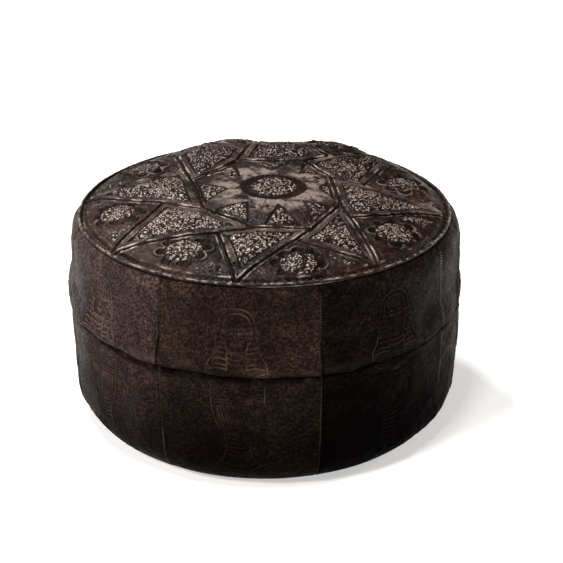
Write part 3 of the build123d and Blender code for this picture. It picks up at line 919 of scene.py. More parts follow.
def stippled(x, y, layer):
    """Fine raised grain, with painted highlights on its tops and painted shade between them, and how
    strongly it shows, over a pressed field.
    """
    bent = 1.3 * ripple(x, y, 5, layer + 5)
    stones, tone = pebbles(x + bent, y - bent, 2.9, layer)
    tops = np.clip(0.36 + 1.1 * tone + 0.35 * ripple(x, y, 13, layer + 4), 0, 1)
    # towards the back the grain is lower and its painted highlights dimmer, as painted shade of the crown
    tops = tops * (1.2 - 0.6 * ramp(y, -30, 150))
    relief = (0.8 + 0.6 * tops) * stones - 0.6 + 0.7 * ripple(x, y, 11, layer + 3)
    crest = stones * stones * tops
    return relief, 2.1 * crest - 1.3 * (1 - stones), stones * (0.1 + 0.9 * tops)


def back_of_top(x, y):
    """The back of the top's leathers."""
    return np.stack((x, y, dome_height(x, y) - leather), axis=1)


# %% [markdown]
# ## Star triangles
# Each triangle was pressed with a die: a plain border, a raised bead, and a pebbled field inside it.
# The field's edge follows the triangle's own seams, so the distance to the outline draws it.

# %% Pressed face of a triangle
def triangle_face(outline):
    """The pressed face of one star triangle."""
    lines = list(zip(outline, np.roll(outline, -1, axis=0)))

    def shape(x, y):
        relief, wear_and_painted_light, _ = seam_relief(x, y)
        rim, rim_wear_and_light = rim_relief(x, y)
        edge, travel = nearest_line(x, y, lines)
        wander = 0.8 * ripple(x, y, 30, 12)
        bead = ridge(edge - 10.4 + wander, 1.2)
        groove = ridge(edge - 12.4 + wander, 1.1)
        field = ramp(edge + wander, 12.6, 13.8)
        grain, grain_highlight_and_shade, strength = stippled(x, y, 13)
        puffed = ridge(edge - 6.6, 3.2)
        height = top_face(x, y) + relief + rim + 0.7 * bead + 1.2 * puffed - 0.8 * groove + field * grain
        uneven = np.clip(0.35 + 0.9 * ripple(travel, edge, 24, 15), 0.05, 1)
        # the bead and the puffed border are rubbed lighter with a painted highlight, and the groove is
        # painted dark as shade
        wear_and_painted_light = wear_and_painted_light + rim_wear_and_light + (0.3 * bead + 0.2 * puffed) * uneven - 0.9 * groove + field * grain_highlight_and_shade
        return np.stack((x, y, height), axis=1), wear_and_painted_light, field * strength

    return shape


# %% Cut and shape the triangles
fine_spacing = 0.8
back_spacing = 14.0
top_cut_radius = top_edge_radius - 0.4
star_pieces = []
for k in range(1, panel_count + 1):
    outline = [octagon_corners[k - 1], rim_ends[k % panel_count], branches[k - 1], octagon_corners[k - 2]]
    face = flat_cut(outline, fine_spacing, top_cut_radius)
    back = flat_cut(outline, back_spacing, top_cut_radius)
    shape = triangle_face(outline)
    piece = shaped_leather(f"star_leather_{k}", face, back, shape, back_of_top, star_leather)
    dress(piece, "star_leather", f"star_triangle_{k}")
    star_pieces.append(piece)
print("star triangles have", sum(len(p.data.polygons) for p in star_pieces), "faces")

# %% [markdown]
# ## Rim patches
# Each patch carries a scalloped rosette with a pebbled middle. A circle of eight round petals round a
# disc draws its outline; the same distance tells inside from outside.

# %% Rosette
rosette_places = [
    on_plan(share, azimuth)
    for share, azimuth in (
        (0.81, 330),
        (0.86, 11),
        (0.83, 53),
        (0.78, 101),
        (0.80, 150),
        (0.80, 195),
        (0.80, 239),
        (0.81, 286),
    )
]
rosette_radius = 32.0
petal_radius = 9.5
petal_count = 8
rosette_core = 24.0


def rosette_edge(x, y, centre):
    """Distance outside (or, below 0, inside) a disc with round petals on its rim."""
    ring = rosette_radius - petal_radius / 2
    edge = np.hypot(x - centre[0], y - centre[1]) - ring
    for number in range(petal_count):
        turn = math.radians(360 / petal_count * number)
        petal = centre + ring * np.array((math.cos(turn), math.sin(turn)))
        edge = np.minimum(edge, np.hypot(x - petal[0], y - petal[1]) - petal_radius)
    return edge


# %% Pressed face of a patch
def patch_face(outline, centre):
    """The pressed face of one rim patch."""
    lines = [(outline[0], outline[1]), (outline[2], outline[0])]

    def shape(x, y):
        relief, wear_and_painted_light, _ = seam_relief(x, y)
        rim, rim_wear_and_light = rim_relief(x, y)
        seam, _ = nearest_line(x, y, lines)
        inside = np.minimum(seam, topstitch_radius - 2 - np.hypot(x, y))
        edge = rosette_edge(x, y, centre) + 1.1 * ripple(x, y, 21, 16)
        clear = ramp(inside, 4, 8)
        bead = ridge(edge, 1.9) * clear
        turn = np.arctan2(y - centre[1], x - centre[0])
        reach = np.hypot(x - centre[0], y - centre[1]) + 1.2 * ripple(x, y, 12, 15)
        reach = reach + 1.4 * np.abs(np.sin(petal_count / 2 * turn))
        lobes = ramp(-edge, 1.2, 3) * ramp(reach, rosette_core, rosette_core + 1.5) * clear
        groove = ridge(edge - 2.6, 1.2) * clear
        field = ramp(-reach, -rosette_core, 1 - rosette_core) * clear
        corner = ramp(edge, 10, 13) * ramp(inside, 8, 10)
        grain, grain_highlight_and_shade, strength = stippled(x, y, 17)
        patchy = ramp(ripple(x, y, 17, 6), -0.6, 0.5)
        uneven = np.clip(0.4 + 0.8 * ripple(x, y, 18, 19), 0.05, 1)
        height = top_face(x, y) + relief + rim + 1.8 * bead - 0.5 * groove - 1.0 * lobes
        height = height + (field + 0.35 * lobes + 0.6 * corner * patchy) * grain
        # the bead is rubbed lighter with a painted highlight, and the groove and the lobes are painted dark
        # as shade
        wear_and_painted_light = wear_and_painted_light + rim_wear_and_light + 0.42 * bead * uneven - 0.3 * groove - 0.8 * lobes
        grained = field * (0.7 + 0.3 * patchy) + 0.25 * lobes * patchy + 0.7 * corner * patchy
        pebbles_and_glints = (field + 0.6 * corner * patchy) * strength
        return np.stack((x, y, height), axis=1), wear_and_painted_light + grained * grain_highlight_and_shade, pebbles_and_glints

    return shape


# %% Cut and shape the rim patches
patch_overreach = 1.4
patch_pieces = []
for k in range(1, panel_count + 1):
    branch = branches[k - 1]
    outline = [
        branch,
        branch + patch_overreach * (rim_ends[k - 1] - branch),
        branch + patch_overreach * (rim_ends[k % panel_count] - branch),
    ]
    face = flat_cut(outline, fine_spacing, top_cut_radius)
    back = flat_cut(outline, back_spacing, top_cut_radius)
    shape = patch_face(outline, rosette_places[k - 1])
    piece = shaped_leather(f"patch_leather_{k}", face, back, shape, back_of_top, patch_leather)
    dress(piece, "patch_leather", f"rim_patch_{k}")
    patch_pieces.append(piece)
print("rim patches have", sum(len(p.data.polygons) for p in patch_pieces), "faces")

# %% [markdown]
# ## Octagon
# The middle leather is pressed with a pebbled triangle on each of its sides. What is left between the
# triangles reads as eight broad petals, rubbed down to bare tan near the middle. A sunken ring, painted
# dark as shade, and a round pebbled medallion stand in the centre.

# %% Medallion and triangles of the octagon
medallion_radius = 31.0
medallion_ring_radius = 43.0
triangle_apex = 63.0
triangle_inset = 7.0
between_lines = []
for k in range(panel_count):
    corner = octagon_corners[k]
    side = octagon_corners[(k + 1) % panel_count] - corner
    middle = corner + side / 2 - medallion_centre
    inward = np.array((-side[1], side[0])) / np.hypot(*side)
    inward = inward if inward @ middle < 0 else -inward
    base_start = corner + 0.2 * side + triangle_inset * inward
    base_end = corner + 0.8 * side + triangle_inset * inward
    apex = medallion_centre + triangle_apex * middle / np.hypot(*middle)
    between_lines += [(base_start, base_end), (base_end, apex), (apex, base_start)]
petal_spines = [(medallion_centre, 0.93 * corner + 0.07 * medallion_centre) for corner in octagon_corners]


# %% Pressed face of the octagon
def octagon_face(x, y):
    """The pressed face of the octagon."""
    relief, wear_and_painted_light, seam = seam_relief(x, y)
    edge, _ = nearest_line(x, y, between_lines)
    signed = np.where(inside_outline(x, y, between_lines) == 1, edge, -edge) + 0.7 * ripple(x, y, 20, 20)
    spine, _ = nearest_line(x, y, petal_spines)
    turn = np.arctan2(y - medallion_centre[1], x - medallion_centre[0])
    reach = np.hypot(x - medallion_centre[0], y - medallion_centre[1]) + 1.2 * ripple(x, y, 18, 21)
    scallop = medallion_radius + 1.6 * np.abs(np.sin(8 * turn)) - 0.8
    medallion = ramp(scallop - reach, 0, 2)
    ring = ramp(reach - scallop, 0, 2) * ramp(medallion_ring_radius - reach, -3, 1)
    field = ramp(signed, 2.0, 3.2)
    petal = ramp(-signed, 0.6, 2.6) * ramp(reach, medallion_ring_radius, medallion_ring_radius + 4)
    groove = ridge(signed + 0.3, 1.2) * ramp(reach, 48, 54)
    grain, grain_highlight_and_shade, strength = stippled(x, y, 2)
    stipple = medallion + field
    height = top_face(x, y) + relief + stipple * (grain + 0.3) - 1.1 * ring - 0.8 * groove
    height = height + petal * (1.0 - 0.6 * ridge(spine, 1.2) - 0.03 * np.clip(spine, 0, 20))
    blotch = ripple(x, y, 9, 2) + 0.8 * ripple(x, y, 3.4, 4) + 0.9 * ripple(x, y, 26, 7)
    paler = petal * ramp(blotch, -1.5, 0.7) * (1 - 0.5 * ridge(spine, 1.1)) * ramp(-reach, -104, -66)
    paler = paler * ramp(seam, 3, 13)
    # the petals are rubbed to bare tan; the ring and the groove are painted dark as shade
    wear_and_painted_light = wear_and_painted_light + 0.47 * paler - 0.6 * ring - 0.6 * groove + stipple * grain_highlight_and_shade
    return np.stack((x, y, height), axis=1), wear_and_painted_light, stipple * strength


# %% Cut and shape the octagon
face = flat_cut(octagon_corners, fine_spacing)
back = flat_cut(octagon_corners, back_spacing)
octagon = shaped_leather("octagon_leather", face, back, octagon_face, back_of_top, star_leather)
dress(octagon, "star_leather", "centre_octagon")
print("octagon has", len(octagon.data.polygons), "faces")

# %% [markdown]
# ## Figure on each wall panel
# Every wall leather is pressed with the same standing figure, wrapped like a mummy and drawn in thin
# raised lines: a striped headcloth, a collar, crossing bands and a round foot. It is drawn here as
# plain lines on one half and mirrored. The face is only a calm, general one.

# %% Bows for the figure
figure_foot = 62.0


def bow(start, end, sag, count=14):
    """Points along a shallow bow from start to end."""
    start = np.array(start, float)
    end = np.array(end, float)
    share = np.linspace(0, 1, count)[:, None]
    run = end - start
    across = np.array((-run[1], run[0])) / np.hypot(*run)
    return start + run * share + across * sag * 4 * share * (1 - share)


def joined(points):
    """The straight lines between points in a row."""
    return list(zip(points[:-1], points[1:]))


# %% Outline, headcloth and bands
half_figure = []
for start, end, sag in (
    ((0, 229), (22, 206), 8),
    ((22, 206), (27, 178), 2),
    ((27, 178), (36, 158), -2),
    ((36, 158), (34, 120), 3),
    ((34, 120), (19, 46), 5),
    ((19, 46), (17, 24), -2),
    ((17, 24), (31, 6), -3),
    ((0, -5), (31, 6), -3),
    ((0, 3), (24, 11), -2),
    ((0, 223), (17, 205), 6),
    ((17, 205), (14, 183), 3),
    ((0, 171), (14, 183), -5),
    ((12, 178), (12, 150), 0),
    ((12, 150), (34, 150), 2),
):
    half_figure += joined(bow(start, end, sag))
for stripe in range(7):
    level = 155 + 7 * stripe
    half_figure += joined(bow((13, level), (27 - 0.2 * stripe, level + 2), 1, 4))
for number in range(3):
    half_figure += joined(bow((0, 168 - 6 * number), (11.5, 171 - 6 * number), -1, 5))
for band, reach in ((146, 35), (142, 35), (129, 34), (125, 33)):
    half_figure += joined(bow((0, band - 8), (reach, band), -2))
for tick in range(9):
    across = 2 + 3.7 * tick
    half_figure += [((across, 126.5 - 8 + 0.22 * across), (across + 2.4, 133 - 8 + 0.22 * across))]
for level, reach in ((101, 30), (97, 30), (62, 24), (58, 23)):
    half_figure += joined(bow((0, level), (reach, level + 1), 0, 4))
for number in range(7):
    half_figure += [((4.0 * number, 65), (min(4.0 * number + 7, 26), 94))]
    half_figure += [((4.0 * number + 2, 94), (max(4.0 * number - 4, 0), 65))]
for number in range(6):
    half_figure += joined(bow((0, 19 + 6.4 * number), (15 + 0.7 * number, 23 + 6.4 * number), -1, 5))
print("outline and bands of one half have", len(half_figure), "short lines")

# %% A calm, general face
for start, end, sag in (
    ((3.2, 197), (10.2, 197), 1.2),
    ((3.2, 197), (10.2, 197), -1.2),
    ((3.0, 201.5), (11, 201), 1.4),
):
    half_figure += joined(bow(start, end, sag, 6))
half_figure += [((1.6, 198), (2.4, 188.5)), ((0, 187.6), (2.4, 188.5))]
for start, end, sag in (((0, 182), (4.4, 182), 0.4), ((0, 180.6), (4.4, 182), -0.6)):
    half_figure += joined(bow(start, end, sag, 5))
figure_lines = half_figure + [((-a[0], a[1]), (-b[0], b[1])) for a, b in half_figure]
print("figure is drawn with", len(figure_lines), "short lines")

# %% [markdown]
# ## Swell of the wall
# The wall is blown up in the same way, as one sheet that is pinned along its eight upright seams, along
# the welt, the floor and the crease, where the stuffing has sunk and the leather has folded.

# %% Swell of the wall
wall_columns = 8 * 26
wall_rows = 40
wall_spacing = (360 / wall_columns, wall_length / wall_rows)


def to_seam(azimuth):
    """Distance in millimetres to the nearest upright seam of the wall."""
    turn = (azimuth - first_seam_azimuth) % panel_angle
    return np.minimum(turn, panel_angle - turn) * math.radians(1) * body_radius


wall_sheet = bmesh.new()
bmesh.ops.create_grid(wall_sheet, x_segments=wall_columns, y_segments=wall_rows, size=0.5)
wall_flat = np.array([v.co[:] for v in wall_sheet.verts]) + (0.5, 0.5, 0)
wall_azimuth = first_seam_azimuth + 360 * wall_flat[:, 0]
wall_up = wall_length * wall_flat[:, 1]
for vert, place in zip(wall_sheet.verts, (on_wall(wall_azimuth, wall_up, 0) * mm).tolist()):
    vert.co = place
pinned = to_seam(wall_azimuth) < 1.0
pinned = pinned | (wall_up < 34) | (wall_up > wall_length - 4)
pinned = pinned | (np.abs(wall_up - crease_travel) < 0.6 * wall_spacing[1])
wall_before, wall_after = blown_up(wall_sheet, pinned, growth=0.01, pressure=4.0)
outward = on_wall(wall_azimuth, wall_up, 1) - on_wall(wall_azimuth, wall_up, 0)
lift = np.clip(((wall_after - wall_before) / mm * outward).sum(axis=1), -0.5, swell_cap)
order = np.lexsort((np.round(wall_azimuth, 3), np.round(wall_up, 3)))
wall_swell = lift[order].reshape(wall_rows + 1, wall_columns + 1)
print("wall swells by up to", round(float(wall_swell.max()), 2), "mm")

# %% [markdown]
# ## Fold and creases of the wall
# The stuffing has sunk, so the wall has folded over itself a little above its middle. The fold wanders
# up and down. It is deep at the front and left, and at the right the wall is still filled out. Below it
# the leather lies in shade, which is also painted dark, while the bulge above it is painted lighter as a
# highlight, and creases gather beside it. The distance above the fold draws all this.

# %% Fold of the wall
def facing(azimuth, middle, wide, near):
    """1 within near degrees of a direction, falling to 0 at wide degrees away from it."""
    return ramp(-np.abs((azimuth - middle + 180) % 360 - 180), -wide, -near)


def fold_of(azimuth, around, up, seam):
    """How far each place is above the fold, the fold's bulge, and how much lighter or darker it is painted
    there: a painted highlight on the bulge and painted shade under the fold.
    """
    wander = 6 * ripple(around, 0 * up, 60, 13) + 2.5 * ripple(around, 0 * up, 21, 14)
    above = up - crease_travel + wander * ramp(seam, 0, 30)
    filled = 0.15 + 0.85 * facing(azimuth, 66, 72, 28)
    front = facing(azimuth, -10, 82, 45)
    bulge = (2.4 + 3.4 * front) * (1 - 0.62 * filled)
    bulge = bulge * ramp(above, -2, 9) * (1 - ramp(above, 16, 75))
    bulge = bulge + (1.0 + 3.2 * filled) * ridge(up - crease_travel + 1, 7)
    bulge = bulge - 1.2 * (1 - filled) * ridge(above + 20, 12)
    shade = 0.85 * ramp(-above, -1, 3) * ramp(above, -17, -5) * (1.1 - filled)
    # the bulge is rubbed lighter with a painted highlight, the wall higher up takes painted lighter specks,
    # and the shade under the fold is painted dark
    wear_and_painted_light = 0.26 * ridge(above - 12, 9) * np.clip(0.3 + ripple(around, up, 34, 13), 0, 1)
    wear_and_painted_light = wear_and_painted_light + 0.10 * ramp(above, 0, 60) * np.clip(ripple(around, up, 5, 17), 0, 1)
    return above, bulge, wear_and_painted_light - shade


def creases_of(around, up, seam, above):
    """Flat creases that gather beside the fold: their lift, their crests rubbed lighter and their troughs
    painted dark as shade.
    """
    warp = 5 * ripple(around, up, 28, 6)
    gather = ripple(around * 0.26, above + warp, 3.0, 7) * np.exp(-np.abs(above + 6) / 13)
    gather = gather * np.clip(0.45 + ripple(around, up, 45, 8) + np.exp(-seam / 25), 0, 1.2)
    slanting = ripple(around * 0.5 + above, above * 0.6 - around * 0.1, 8, 9)
    slanting = slanting * np.exp(-np.abs(above + 22) / 30)
    slanting = slanting * np.clip(ripple(around, up, 60, 10) + 0.4, 0, 1)
    wear_and_painted_light = 0.5 * np.clip(gather, -0.6, 1) + 0.35 * np.clip(slanting, -0.3, 1)
    return 1.4 * gather + 0.9 * slanting, wear_and_painted_light


# %% Pulls and the pressed figure
def pulls_of(around, up, seam, foot, shoulder):
    """Pulls that run down from the welt and away from the seams, and the unevenness of the skin."""
    pull = ripple(around, up * 0.2, 8, 3) * np.exp(-(wall_length - up) / 14)
    seam_pull = ripple(up, seam * 0.35, 7, 4) * np.exp(-seam / 8)
    long_pull = ripple(up + 0.5 * seam, seam * 0.3, 19, 5) * np.exp(-seam / 30)
    skin = 0.16 * ripple(around, up, 5.3, 15) + 0.10 * ripple(around, up, 2.6, 16)
    return foot * (0.6 * seam_pull + 0.85 * long_pull + skin) + 0.9 * pull * shoulder


def figure_of(across, around, up):
    """The pressed figure's raised lines with a groove beside them: their lift, and how much lighter they
    are, rubbed and painted as a highlight.
    """
    line, _ = nearest_line(across, up - figure_foot, figure_lines)
    faded = 0.75 + 0.6 * ripple(around, up, 22, 11) + 0.35 * ripple(around, up, 6, 12)
    faded = np.clip(faded, 0.22, 1.15)
    pressed = ridge(line, 0.75) * faded
    return 1.1 * pressed - 0.45 * ridge(line - 2.2, 1.1) * faded, 0.6 * pressed


# %% [markdown]
# ## Wall panels
# A wall panel is one tall leather. Its swell, the stuffing's lumps, the fold, the pulls and the pressed
# figure are added up to one lift off the plain wall. All panels share the same pattern, but each has
# wrinkles of its own, because the noise runs on round the whole wall.

# %% Wall panels
turned_in = -1.65
foot_height = 12


def panel_face(number):
    """The face of one wall panel; the flat cut's x is across the panel and its y is up it."""
    middle = first_seam_azimuth + panel_angle * (number - 0.5)

    def shape(across, up):
        azimuth = middle + np.degrees(across / body_radius)
        around = (azimuth - first_seam_azimuth) * math.radians(1) * body_radius
        seam = to_seam(azimuth) - seam_gap / 2
        foot = ramp(up, foot_height, 46)
        shoulder = ramp(wall_length - up, 1, 9)
        above, bulge, fold_wear_and_light = fold_of(azimuth, around, up, seam)
        creased, crease_wear_and_shade = creases_of(around, up, seam, above)
        figure, figure_wear_and_light = figure_of(across, around, up)
        swell = read_map(wall_swell, (first_seam_azimuth, 0), wall_spacing, azimuth, up)
        lumps = 1.9 * ripple(around, up, 70, 1) + 0.9 * ripple(around, up, 32, 2)
        lift = foot * shoulder * (0.75 * swell + lumps + bulge - 1.4)
        lift = lift + pulls_of(around, up, seam, foot, shoulder) + creased + figure
        # the leather turns in at the seams and under the welt
        lift = lift - 1.2 * ridge(seam, 0.9) + 0.35 * ridge(seam - 3.0, 1.5) * foot
        lift = lift + rim_wave(azimuth) * ramp(up, wall_length - 34, wall_length)
        lift = np.maximum(lift, turned_in)
        lift = np.where(up < foot_height, np.clip(lift, -1.2, 0.0), lift)
        # the seam's lips are rubbed lighter with a painted highlight, and the seam is painted dark as shade
        seam_wear_and_light = 0.25 * ridge(seam - 2.6, 1.2) * np.clip(0.2 + ripple(up, seam, 22, 12), 0, 1)
        wear_and_painted_light = figure_wear_and_light + crease_wear_and_shade + fold_wear_and_light + seam_wear_and_light - 0.5 * ridge(seam, 0.6)
        # painted glints on the upper wall, carried by the pebbled attribute
        sparkle = np.clip(0.1 + ripple(around, up, 2.3, 18), 0, 1)
        sparkle = sparkle * np.clip(0.65 + ripple(around, up, 20, 19), 0, 1)
        return on_wall(azimuth, up, lift), wear_and_painted_light, 0.8 * sparkle * ramp(up, 40, wall_length)

    return shape


def panel_back(number):
    """The back of one wall panel."""
    middle = first_seam_azimuth + panel_angle * (number - 0.5)

    def shape(across, up):
        return on_wall(middle + np.degrees(across / body_radius), up, np.full(up.shape, -leather))

    return shape


def panel_cut(spacing):
    """The flat cut of a wall panel, centred across and standing on y = 0."""
    width = 2 * math.pi * body_radius / panel_count - seam_gap
    made = bmesh.new()
    columns = round(width / spacing)
    rows = round(wall_length / spacing)
    bmesh.ops.create_grid(made, x_segments=columns, y_segments=rows, size=0.5)
    bmesh.ops.translate(made, verts=made.verts, vec=(0, 0.5, 0))
    bmesh.ops.scale(made, verts=made.verts, vec=(width, wall_length, 1))
    return made


# %% Cut and shape the wall panels
panel_spacing = 1.08
panel_back_spacing = 6.0
panels = []
for number in range(1, panel_count + 1):
    piece = shaped_leather(
        f"wall_leather_{number}",
        panel_cut(panel_spacing),
        panel_cut(panel_back_spacing),
        panel_face(number),
        panel_back(number),
        wall_leathers[number - 1],
    )
    dress(piece, "wall_leather", f"side_panel_{number}")
    panels.append(piece)
print("wall panels have", sum(len(p.data.polygons) for p in panels), "faces")

# %% [markdown]
# ## Welt
# A strip of leather is folded round a cord and sewn in between the top and the wall. Its section is a
# round bead with a narrow tongue below it; one full turn makes the ring. The strip puckers where it is
# pulled round the curve, so the bead is never quite round or quite level.

# %% Welt
bead_radius = 2.5
bead_sides = 24
tongue_depth = 10.8
tongue_half = 0.8
ring_steps = 900
section = bmesh.new()
bmesh.ops.create_circle(section, segments=bead_sides, radius=bead_radius)
for vert in section.verts:
    side, up = vert.co.x, vert.co.y
    if up < -0.94 * bead_radius:
        up = -tongue_depth
    elif up < -0.8 * bead_radius:
        side = math.copysign(tongue_half, side)
    vert.co = (rim_radius + side, 0, rim_height + up)
bmesh.ops.spin(
    section,
    geom=section.edges[:],
    axis=(0, 0, 1),
    cent=(0, 0, 0),
    angle=math.tau,
    steps=ring_steps,
    use_merge=True,
)
bmesh.ops.recalc_face_normals(section, faces=section.faces)
tone_wear_and_painted_light = section.verts.layers.float.new("tone_wear_and_painted_light")
flat = np.array([v.co[:] for v in section.verts])
azimuth = np.degrees(np.arctan2(flat[:, 0], -flat[:, 1]))
around = azimuth * math.radians(1) * rim_radius
reach = np.hypot(flat[:, 0], flat[:, 1]) - rim_radius
up = flat[:, 2] - rim_height
turned = np.degrees(np.arctan2(up, reach))
thickness = 1 + 0.09 * ripple(around, turned * 0.03, 7, 1)
thickness = thickness + 0.08 * ripple(around + turned * 0.06, 0 * up, 3.1, 2)
thickness = np.where(up > -bead_radius, thickness - 0.06, 1)
drift = 0.5 * ripple(around, 0 * up, 33, 3)
radius = rim_radius + reach * thickness + drift
height = rim_height + up * thickness + rim_wave(azimuth)
# the bead's upper side is rubbed lighter with a painted highlight, and the tongue under the bead is painted
# dark as shade
wear_and_painted_light = 0.8 * ridge(turned - 60, 40) * np.clip(0.3 + ripple(around, turned * 0.05, 4, 4), 0, 1)
wear_and_painted_light = wear_and_painted_light - 0.8 * ramp(-up, 0.8, 2.2)
turn = np.radians(azimuth)
carried = np.stack((radius * np.sin(turn), -radius * np.cos(turn), height), axis=1)
for vert, point, rub_and_light in zip(section.verts, carried.tolist(), wear_and_painted_light.tolist()):
    vert.co = point
    vert[tone_wear_and_painted_light] = rub_and_light
welt = finished("welt_leather", section, welt_leather)
dress(welt, "welt_leather", "top_welt")
print("welt has", len(welt.data.polygons), "faces")

# %% [markdown]
# ## Thread
# Every stitch is a short waxed lump of thread, so one small round shape, stretched and laid along its
# seam, serves them all. There are hundreds, so the lump is doubled again and again until there are
# enough, and then every copy is carried to its place at once. Below the stitches in the star and in the
# wall runs the dark inside of the seam, where both leathers turn in: a narrow strip closes the gap.

# %% Thread
waxed_thread = (0.016, 0.010, 0.008, 1)
pale_thread = (0.62, 0.54, 0.45, 1)
thread = new_material("thread")
thread_tree = thread.node_tree
thread_places = node(thread_tree, "ShaderNodeTexCoord").outputs["Object"]
thread_pale = node(thread_tree, "ShaderNodeAttribute", attribute_name="tone_wear_and_painted_light").outputs["Fac"]
thread_colour = mix_colour(thread_tree, thread_pale, waxed_thread, pale_thread)
thread_fuzz = spread(thread_tree, noise(thread_tree, thread_places, 900, 3), 0.3, 0.7, 0.5, 1.4)
thread_colour = mix_colour(thread_tree, 1.0, thread_colour, grey(thread_tree, thread_fuzz), "MULTIPLY")
thread_lay = node(
    thread_tree, "ShaderNodeTexWave", Scale=420.0, Distortion=1.5, bands_direction="DIAGONAL"
)
link(thread_tree, thread_places, thread_lay.inputs["Vector"])
thread_shader = node(thread_tree, "ShaderNodeBsdfPrincipled", Roughness=0.6)
thread_shader.inputs["Specular IOR Level"].default_value = 0.25
link(thread_tree, thread_colour, thread_shader.inputs["Base Color"])
bumped(thread_tree, thread_shader, thread_lay.outputs["Fac"], 0.6, 0.0002)
shown(thread_tree, thread_shader.outputs[0])
print("thread is dyed", waxed_thread[:3], "and one seam is", pale_thread[:3])

# %% Stitches
lump_shape = bmesh.new()
bmesh.ops.create_uvsphere(lump_shape, u_segments=6, v_segments=4, radius=0.5)
lump_mesh = bpy.data.meshes.new("lump")
lump_shape.to_mesh(lump_mesh)
lump_shape.free()
lump_points = np.array([v.co[:] for v in lump_mesh.vertices])
print("one stitch has", len(lump_mesh.polygons), "faces")


def many_lumps(count):
    """A shape with so many round lumps in it: one lump, doubled until there are enough."""
    shape = bmesh.new()
    shape.from_mesh(lump_mesh)
    while len(shape.verts) < count * len(lump_points):
        bmesh.ops.duplicate(shape, geom=shape.verts[:] + shape.edges[:] + shape.faces[:])
    bmesh.ops.delete(shape, geom=shape.verts[:][count * len(lump_points) :], context="VERTS")
    return shape


def unit(rows):
    """Each row as a direction of length 1."""
    return rows / np.linalg.norm(rows, axis=1)[:, None]


def stitches(places, ahead, out, size, pale):
    """A row of stitches: the round lump stretched to a size and laid at each place along the seam."""
    ahead = unit(np.asarray(ahead, float))
    out = np.asarray(out, float)
    out = unit(out - (out * ahead).sum(axis=1)[:, None] * ahead)
    side = np.cross(out, ahead)
    axes = np.stack((ahead * size[0], side * size[1], out * size[2]), axis=1)
    points = np.einsum("pk,nkc->npc", lump_points, axes) + np.asarray(places)[:, None, :]
    tones = np.repeat(np.asarray(pale, float), len(lump_points))
    return points.reshape(-1, 3), tones


def sewn(name, rows, strips=()):
    """One thread piece from rows of stitches and the strips that lie under them."""
    points = np.vstack([row[0] for row in rows])
    tones = np.concatenate([row[1] for row in rows])
    shape = many_lumps(len(points) // len(lump_points))
    tone_wear_and_painted_light = shape.verts.layers.float.new("tone_wear_and_painted_light")
    for vert, point, tone in zip(shape.verts, points.tolist(), tones.tolist()):
        vert.co = point
        vert[tone_wear_and_painted_light] = tone
    for places, across, thickness in strips:
        add_strip(shape, places, across, thickness)
    bmesh.ops.recalc_face_normals(shape, faces=shape.faces)
    return finished(name, shape, thread)


# %% Strips of the seam's dark inside
def add_strip(shape, places, across, thickness):
    """A narrow strip along places, as wide as across and as thick as said below them."""
    rows = len(places)
    strip = bmesh.new()
    bmesh.ops.create_grid(strip, x_segments=1, y_segments=rows - 1, size=0.5)
    for vert in strip.verts:
        row = round((vert.co.y + 0.5) * (rows - 1))
        vert.co = Vector(places[row]) + math.copysign(0.5, vert.co.x) * Vector(across)
    bmesh.ops.recalc_face_normals(strip, faces=strip.faces)
    bmesh.ops.solidify(strip, geom=strip.faces[:], thickness=thickness)
    carried = bpy.data.meshes.new("carried")
    strip.to_mesh(carried)
    strip.free()
    shape.from_mesh(carried)
    bpy.data.meshes.remove(carried)


# %% Topstitches round the rim
topstitch_count = 180
topstitch_size = (5.4, 0.9, 0.8)


def rim_places(azimuths):
    """Places in the topstitching's furrow on the finished top."""
    turn = np.radians(azimuths)
    x = topstitch_radius * np.sin(turn)
    y = -topstitch_radius * np.cos(turn)
    return np.stack((x, y, top_face(x, y) + rim_relief(x, y)[0]), axis=1)


azimuths = np.arange(topstitch_count) * 360 / topstitch_count
places = rim_places(azimuths)
ahead = rim_places(azimuths + 0.6) - places
turn = np.radians(azimuths)
out = np.stack((0.5 * np.sin(turn), -0.5 * np.cos(turn), 0 * turn + 1), axis=1)
pale = 0.12 + 0.1 * ripple(azimuths, azimuths, 1.7, 2)
piece = sewn("rim_stitches", [stitches(places, ahead, out, topstitch_size, pale)])
dress(piece, "thread", "rim_topstitch")
print("rim has", topstitch_count, "stitches")

# %% Stitches in the wall's seams
wall_stitch_pitch = 3.7
wall_stitch_size = (2.1, 1.0, 0.9)
pale_seam = 2
rows = []
strips = []
for number in range(panel_count):
    azimuth = first_seam_azimuth + panel_angle * number
    turn = math.radians(azimuth)
    across = np.array((math.cos(turn), math.sin(turn), 0.0))
    travels = np.arange(14, wall_length - 9, wall_stitch_pitch)
    azimuths = np.full(travels.shape, azimuth)
    sunk = -0.2 if number == pale_seam else -1.15
    places = on_wall(azimuths, travels, np.full(travels.shape, sunk))
    outward = on_wall(azimuths, travels, np.full(travels.shape, 1.0)) - places
    wander = ripple(travels, 0 * travels + number, 2.1, 4)
    pale = 0.75 + 0.25 * wander if number == pale_seam else 0.10 + 0.08 * wander
    rows.append(stitches(places, [across] * len(places), outward, wall_stitch_size, pale))
    under = on_wall(azimuths, travels, np.full(travels.shape, -1.5))
    strips.append((under, 0.96 * seam_gap * across, 0.4))
piece = sewn("wall_stitches", rows, strips)
dress(piece, "thread", "side_seam_thread")
print("wall seams have", len(piece.data.polygons), "faces of thread")

